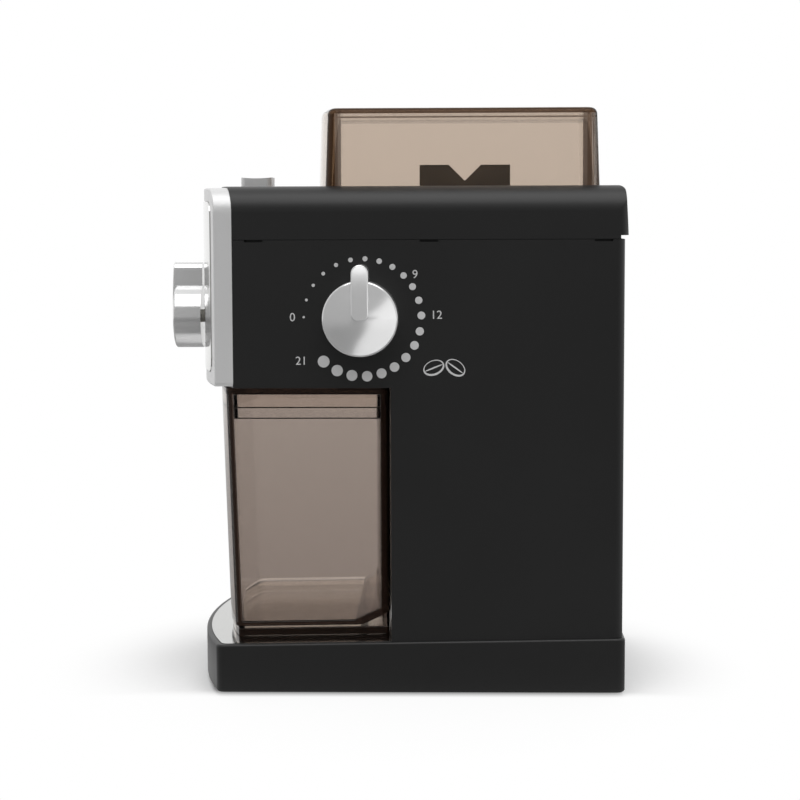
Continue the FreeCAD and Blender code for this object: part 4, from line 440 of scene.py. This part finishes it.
# The floor's paler tint is painted light over the shaded deck beneath. The walls are darker towards the
# floor.
FLOOR_PAINTED_LIGHT = (0.92, 0.87, 0.82, 1.0)
CUP_LOW_TINT = (0.51, 0.46, 0.43, 1.0)
CUP_TINT = (0.575, 0.525, 0.49, 1.0)
CLEAR_TINT = (0.97, 0.96, 0.95, 1.0)
CAP_TINT = (0.74, 0.685, 0.645, 1.0)
CUP_EDGE_SHADE = "#33261F"
CUP_DENSITY = 30.0
FRONT_BAR = ((0, 0), (0.2, 1), (2.3, 1), (2.5, 0.2), (9, 0.2))
CUP_FRONT = (Vector((0, -1, -CUP_DRAFT)), FRONT_AT - CUP_DRAFT * FRONT_AT_Z, FRONT_BAR, CUP_SIDE)
CUP_BACK = (Vector((0, 1, 0)), BACK_Y, SOLID, CUP_SIDE)
CUP_TINTS = ((TINT_FLOOR_TO, FLOOR_PAINTED_LIGHT), (TINT_WALL_FROM, CUP_LOW_TINT), (TINT_TOP, CUP_TINT))
smoked_cup = smoked_clear("smoked_san_container", OFF_FLOOR, CUP_TINTS, CUP_EDGE_SHADE, CUP_DENSITY, (
    CUP_FRONT, CUP_BACK,
    (TO_FLOOR, -FLOOR_Z, SOLID, CUP_SIDE),
    (TO_HEEL, HEEL_SLOPE * HEEL_Y - FLOOR_Z, SOLID, CUP_SIDE),
    (TO_FLOOR, -FOOT_Z, SOLID, FOOT_SIDE),
    (UP, RIM_Z, SOLID, CUP_SIDE),
))
CAP_TINTS = ((TINT_TOP, CLEAR_TINT), (CAP_FROM, CAP_TINT))
smoked_cap = smoked_clear("smoked_san_cap", UP, CAP_TINTS, CUP_EDGE_SHADE, CUP_DENSITY, (
    CUP_FRONT, CUP_BACK,
    (UP, CAP_TOP_Z, SOLID, CAP_SIDE),
    (-UP, -CAP_FOOT_Z, SOLID, CAP_SIDE),
))

# %% Bean lid
LID_LOW_TINT, LID_TINT = (0.71, 0.64, 0.575, 1.0), (0.73, 0.66, 0.595, 1.0)
LID_TINTS = ((200 * MM, LID_LOW_TINT), (260 * MM, LID_TINT))
LID_EDGE_SHADE = "#503620"
LID_DENSITY = 8.0
LID_SIDE = 48.8 * MM
LID_FRONT_AT, LID_BACK_AT, LID_TOP_AT = 21.8 * MM, 84.4 * MM, 253.0 * MM
# The lid's bars are painted shade of its walls seen edge-on, and the lighter steps and dips in them are
# painted highlights of its inner edges. Its walls are a little darker towards the bottom.
LID_FRONT_BAR = ((0, 0), (0.1, 0.7), (1.4, 0.7), (1.5, 0.88), (2.7, 0.88), (2.9, 1), (6.6, 1), (6.8, 0),
                 (20, 0))
LID_BACK_BAR = ((0, 0), (0.1, 0.82), (1.8, 0.82), (1.9, 0.92), (4.0, 0.92), (4.1, 0.66), (4.4, 0.66),
                (4.5, 0.95), (4.8, 0.95), (4.9, 0.6), (6.2, 0.6), (6.4, 1), (20, 1))
LID_TOP_BAR = ((0, 0), (0.2, 0.2), (1.5, 0.2), (1.6, 0), (2.5, 0), (2.6, 0.9), (3.2, 0.9), (3.3, 0),
               (4.4, 0), (4.6, 1), (20, 1))
smoked_lid = smoked_clear("smoked_san_lid", UP, LID_TINTS, LID_EDGE_SHADE, LID_DENSITY, (
    (Vector((0, -1, 0)), LID_FRONT_AT, LID_FRONT_BAR, LID_SIDE),
    (Vector((0, 1, 0)), LID_BACK_AT, LID_BACK_BAR, LID_SIDE),
    (UP, LID_TOP_AT, LID_TOP_BAR, LID_SIDE),
))

# %% [markdown]
# ## Circuit board
# The control board is glass-fibre laminate under green lacquer. Its weave shows faintly through it.

# %% Lacquered laminate
WEAVE_MM = 1.2
board_green, tree, output, place = new_finish("lacquered_laminate")
weave = add(tree, "ShaderNodeTexWave", {"wave_type": "BANDS", "bands_direction": "X"},
            {"Scale": per_mm(WEAVE_MM) / (2 * math.pi), "Distortion": 0.5}, {"Vector": place})
green = add(tree, "ShaderNodeMix", RGBA, {"A": linear("#1C5530"), "B": linear("#226238")},
            {"Factor": weave.outputs["Fac"]})
lacquer = add(tree, "ShaderNodeBsdfPrincipled", values={"Roughness": 0.25, "IOR": 1.5},
              links={"Base Color": green.outputs["Result"]})
tree.links.new(lacquer.outputs["BSDF"], output.inputs["Surface"])
print("board weave", WEAVE_MM, "mm")

# %% [markdown]
# ## Finishes on the solids
# A table says which solids are made of what. Inner pieces get theirs too, for a view into the hopper
# or with a cover taken off.

# %% Give every solid its finish
FINISHES = (
    (black_abs, ("base_shell", "main_housing", "top_cover")),
    (inner_abs, ("base_plate", "bean_hopper", "grind_chamber", "grounds_chute", "sweeper",
                 "motor_end_cap", "start_switch", "timer_module", "cooling_fan")),
    (handle_abs, ("burr_carrier",)),
    (gear_acetal, ("adjust_ring", "adjust_rack", "rack_guide", "dial_bush", "drive_gear", "dial_shaft",
                   "timer_shaft")),
    (black_rubber, ("rubber_feet", "cord_grommet", "motor_mounts")),
    (silver_paint, ("front_bezel", "start_button")),
    (satin_chrome, ("grind_dial", "cup_knob")),
    (polished_steel, ("front_plate",)),
    (shaded_deck_steel, ("deck_plate",)),
    (ground_steel, ("lower_burr", "upper_burr", "burr_shaft", "motor_shaft", "motor_pinion", "burr_nut")),
    (zinc_steel, ("base_screws", "housing_screws", "chamber_screws", "upper_burr_screws",
                  "chassis_plate", "chassis_screws", "motor_can", "button_spring", "board_screws")),
    (sintered_bronze, ("shaft_bushes", "motor_bushes")),
    (core_iron, ("armature", "motor_magnets")),
    (smoked_cup, ("grounds_container",)),
    (smoked_cap, ("container_lid",)),
    (smoked_lid, ("hopper_lid",)),
    (board_green, ("control_board",)),
)
finished = set()
for finish, names in FINISHES:
    for name in names:
        coat(solids[name], finish)
        finished.add(name)
print("finished:", len(finished), "left over:", sorted(set(solids) - finished))

# %% [markdown]
# ## Grind scale
# Round the dial a row of printed dots grows from fine to coarse. Ink stands up a few hundredths of a
# millimetre. One dot is modelled: a disc, pushed up, with its top drawn in as wet ink draws itself in.
# It is then copied, sized and set round the dial's axis, and the copies are joined into one piece that
# lies on the wall.

# %% Printing ink
PORE_MM = 0.4
INK = 0.06 * MM


def printing_ink(name, dark, light):
    """Matt ink with fine pores."""
    finish, tree, output, place = new_finish(name)
    pores = add(tree, "ShaderNodeTexNoise", values={"Scale": per_mm(PORE_MM), "Detail": 2.0},
                links={"Vector": place})
    grey = add(tree, "ShaderNodeMix", RGBA, {"A": linear(dark), "B": linear(light)},
               {"Factor": pores.outputs["Fac"]})
    film = add(tree, "ShaderNodeBsdfPrincipled", values={"Roughness": 0.6},
               links={"Base Color": grey.outputs["Result"]})
    tree.links.new(film.outputs["BSDF"], output.inputs["Surface"])
    print(name, INK / MM, "mm thick")
    return finish


ink = printing_ink("light_grey_ink", "#BEBEBE", "#C8C8C8")
dark_ink = printing_ink("dark_grey_ink", "#242424", "#2C2C2C")


# %% Helpers for modelled pieces
def edit_all(action):
    """Runs edit-mode operators on the active object with everything in it selected."""
    bpy.ops.object.mode_set(mode="EDIT")
    bpy.ops.mesh.select_all(action="SELECT")
    action()
    bpy.ops.object.mode_set(mode="OBJECT")


def point_outwards():
    bpy.ops.mesh.normals_make_consistent(inside=False)


def settle(piece):
    """Moves a piece's place into its mesh: its object then sits at the origin, unturned and unscaled."""
    bpy.ops.object.select_all(action="DESELECT")
    piece.select_set(True)
    bpy.context.view_layer.objects.active = piece
    bpy.ops.object.transform_apply(location=True, rotation=True, scale=True)


def join(pieces, name):
    """Makes one named object of several."""
    bpy.ops.object.select_all(action="DESELECT")
    for piece in pieces:
        piece.select_set(True)
    bpy.context.view_layer.objects.active = pieces[0]
    bpy.ops.object.join()
    joined = bpy.context.object
    joined.name = name
    return joined


print("helpers:", ", ".join(helper.__name__ for helper in (edit_all, point_outwards, settle, join)))

# %% One dot
INK_TOP = 0.96
bpy.ops.object.select_all(action="DESELECT")
bpy.ops.mesh.primitive_circle_add(vertices=32, radius=1.0, fill_type="NGON")
one_dot = bpy.context.object


def raise_ink():
    """Pushes the disc up and draws its top in."""
    bpy.ops.mesh.extrude_region_move(TRANSFORM_OT_translate={"value": (0, 0, 1.0)})
    bpy.ops.transform.resize(value=(INK_TOP, INK_TOP, 1.0))


edit_all(raise_ink)
edit_all(point_outwards)
print("one dot:", len(one_dot.data.polygons), "faces")

# %% Dots round the dial
WALL_X = 57.8 * MM
SCALE_Y, SCALE_Z = -12.16 * MM, 168.57 * MM
RING_R = 25.68 * MM
FIRST_DEG = 179.3
GAPS_DEG = (17.0, 15.8, 15.0, 15.1, 14.9, 14.2, 14.0, 14.0, 13.7, 13.9, 14.6, 15.0, 15.6, 14.7, 14.5,
            14.6, 14.1, 14.4, 14.9, 15.2, 15.9)
SMALLEST, LARGEST = 1.05 * MM, 5.2 * MM
FACING_SIDE = (0, math.radians(90), 0)


def dot_at(location, diameter):
    """A copy of the dot, sized and laid on the side wall."""
    bpy.ops.object.select_all(action="DESELECT")
    one_dot.select_set(True)
    bpy.context.view_layer.objects.active = one_dot
    bpy.ops.object.duplicate()
    dot = bpy.context.object
    dot.location = location
    dot.rotation_euler = FACING_SIDE
    dot.scale = (diameter / 2, diameter / 2, INK)
    settle(dot)
    return dot


dots = []
for i in range(len(GAPS_DEG) + 1):
    angle = math.radians(FIRST_DEG - sum(GAPS_DEG[:i]))
    spot = (WALL_X, SCALE_Y + RING_R * math.cos(angle), SCALE_Z + RING_R * math.sin(angle))
    dots.append(dot_at(spot, SMALLEST + (LARGEST - SMALLEST) * i / len(GAPS_DEG)))
grind_dots = join(dots, "grind_scale_dots")
coat(grind_dots, ink)
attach(grind_dots, "stand")
bpy.ops.object.select_all(action="DESELECT")
one_dot.select_set(True)
bpy.ops.object.delete()
print("grind scale:", len(dots), "dots")

# %% [markdown]
# ## Numbers on the scale
# Plain numbers name a few of the settings. Text is a curve in Blender: it gets a little thickness, is
# turned to face the side, and becomes a mesh before its place is applied.

# %% Settings by number
NUMBER_SIZE = 5.2 * MM
LETTERS_FACE_SIDE = (math.radians(90), 0, math.radians(90))


def number_at(text, location, turn, size, align, thickness):
    """A number as a mesh. align: which of its ends, or its middle, lies at the location."""
    bpy.ops.object.select_all(action="DESELECT")
    bpy.ops.object.text_add(location=location, rotation=turn)
    words = bpy.context.object
    words.data.body = text
    words.data.size = size
    words.data.align_x = align
    words.data.align_y = "CENTER"
    words.data.extrude = thickness / 2
    words.data.resolution_u = 6
    bpy.ops.object.convert(target="MESH")
    settle(words)
    return words


NUMBERS = (("0", -41.5, 168.7, "RIGHT"), ("21", -36.5, 149.6, "RIGHT"), ("9", 9.5, 187.3, "LEFT"),
           ("12", 17.5, 169.6, "LEFT"))
numbers = []
for text, y, z, align in NUMBERS:
    spot = (WALL_X + INK / 2, y * MM, z * MM)
    numbers.append(number_at(text, spot, LETTERS_FACE_SIDE, NUMBER_SIZE, align, INK))
grind_numbers = join(numbers, "grind_scale_numbers")
coat(grind_numbers, ink)
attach(grind_numbers, "stand")
print("numbers:", [text for text, *_ in NUMBERS])

# %% [markdown]
# ## Bean sign
# A small sign shows what the scale is for: two plain coffee beans, drawn in lines.
# A bean's outline is an oval whose inner face is inset, moved up a little so that the line is thicker
# below, and deleted. The crease is a thin oval.
# Both are thickened to a film of ink, turned to face the side and joined.

# %% Two beans
BEAN = (4.8 * MM, 3.3 * MM)
CREASE = (4.2 * MM, 0.32 * MM)
LINE, SHADE = 0.6 * MM, 0.25 * MM
BEANS = ((18.9, 146.6, 22), (28.3, 146.6, -36))  # along the side and up in millimetres, tilt in degrees
TO_SIDE = Matrix(((0, 0, 1), (1, 0, 0), (0, 1, 0))).to_4x4()


def flat_oval(half_sizes):
    """A filled oval in the ground plane."""
    bpy.ops.object.select_all(action="DESELECT")
    bpy.ops.mesh.primitive_circle_add(vertices=40, radius=1.0, fill_type="NGON")
    edit_all(lambda: bpy.ops.transform.resize(value=(half_sizes[0], half_sizes[1], 1.0)))
    return bpy.context.object


def cut_to_ring():
    """Leaves a line round the oval, thicker below."""
    bpy.ops.mesh.inset(thickness=LINE)
    bpy.ops.transform.translate(value=(0, SHADE, 0))
    bpy.ops.mesh.delete(type="FACE")


def thicken():
    """Pushes flat faces up to a film of ink."""
    bpy.ops.mesh.extrude_region_move(TRANSFORM_OT_translate={"value": (0, 0, INK)})
    bpy.ops.mesh.select_all(action="SELECT")
    point_outwards()


beans = []
for y, z, tilt in BEANS:
    outline = flat_oval(BEAN)
    edit_all(cut_to_ring)
    edit_all(thicken)
    crease = flat_oval(CREASE)
    edit_all(thicken)
    bean = join([outline, crease], "bean")
    turn = Matrix.Rotation(math.radians(tilt), 4, "Z")
    bean.matrix_world = Matrix.Translation((WALL_X, y * MM, z * MM)) @ TO_SIDE @ turn
    settle(bean)
    beans.append(bean)
bean_sign = join(beans, "bean_sign")
coat(bean_sign, ink)
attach(bean_sign, "stand")
print("bean sign:", len(bean_sign.data.polygons), "faces")

# %% [markdown]
# ## Cup scale
# The front knob sets how many cups to grind, so dots and plain even numbers stand round it on the
# polished plate. The plate is bowed. Flat dots and letters are laid out in front of it, each vertex is
# projected back onto the plate by a shrinkwrap, and a solidify gives the ink its thickness towards the
# front.

# %% Dots and numbers round the knob
CUPS = range(2, 13)
SWEEP_DEG = 270.0
KNOB_Z = 166.15 * MM
CUP_DOT_R, CUP_NUMBER_SIZE = 0.8 * MM, 4.6 * MM
DOT_CIRCLE, NUMBER_CIRCLE = 22.0 * MM, 26.5 * MM
IN_FRONT_Y = -0.12
FACING_FRONT = (math.radians(90), 0, 0)
flat = []
for i, cups in enumerate(CUPS):
    angle = math.radians(SWEEP_DEG * (i / (len(CUPS) - 1) - 0.5))
    sideways, upwards = math.sin(angle), math.cos(angle)
    spot = (MIDDLE_X + DOT_CIRCLE * sideways, IN_FRONT_Y, KNOB_Z + DOT_CIRCLE * upwards)
    bpy.ops.object.select_all(action="DESELECT")
    bpy.ops.mesh.primitive_circle_add(vertices=24, radius=CUP_DOT_R, fill_type="NGON",
                                      rotation=FACING_FRONT, location=spot)
    flat.append(bpy.context.object)
    settle(flat[-1])
    if cups % 2 == 0:
        spot = (MIDDLE_X + NUMBER_CIRCLE * sideways, IN_FRONT_Y, KNOB_Z + NUMBER_CIRCLE * upwards)
        flat.append(number_at(str(cups), spot, FACING_FRONT, CUP_NUMBER_SIZE, "CENTER", 0))
cup_scale = join(flat, "cup_scale")
coat(cup_scale, dark_ink)
print("cup scale:", len(flat), "flat marks")

# %% Lay the marks on the bowed plate
wrap = cup_scale.modifiers.new("onto_plate", "SHRINKWRAP")
wrap.target = solids["front_plate"]
wrap.wrap_method = "PROJECT"
wrap.use_project_y = True
wrap.use_positive_direction = True
bpy.ops.object.modifier_apply(modifier="onto_plate")
film = cup_scale.modifiers.new("ink", "SOLIDIFY")
film.thickness = INK
film.offset = 1.0
bpy.ops.object.modifier_apply(modifier="ink")
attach(cup_scale, "stand")
print("cup scale:", len(cup_scale.data.polygons), "faces, y from",
      round(min(v.co.y for v in cup_scale.data.vertices) / MM, 2), "mm")

# %% [markdown]
# ## Button spring
# Under the start button a coil of steel wire pushes it up again. The CAD solid is rigid, and a press
# would run the button's stem flange into it, so a modelled coil stands for it.
# A ring is the wire's section. A screw modifier carries it round and up, and its two ends are filled.

# %% Coil under the button
WIRE_R, COIL_R, TURNS = 0.4 * MM, 5.0 * MM, 4
low, high = (Vector(corner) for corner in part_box("button_spring"))
length = high.z - low.z
bpy.ops.object.select_all(action="DESELECT")
bpy.ops.mesh.primitive_circle_add(vertices=12, radius=WIRE_R, location=(COIL_R, 0, 0),
                                  rotation=FACING_FRONT)
coil = bpy.context.object
coil.name = "button_coil"
settle(coil)
sweep = coil.modifiers.new("sweep", "SCREW")
sweep.angle = math.radians(360)
sweep.iterations = TURNS
sweep.screw_offset = (length - 2 * WIRE_R) / TURNS
sweep.steps = sweep.render_steps = 32
bpy.ops.object.modifier_apply(modifier="sweep")
edit_all(lambda: bpy.ops.mesh.fill_holes(sides=0))
edit_all(point_outwards)
coil.location = ((low.x + high.x) / 2, (low.y + high.y) / 2, low.z + WIRE_R)
settle(coil)
coat(coil, zinc_steel)
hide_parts("button_spring")
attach(coil, "stand")
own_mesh(coil)
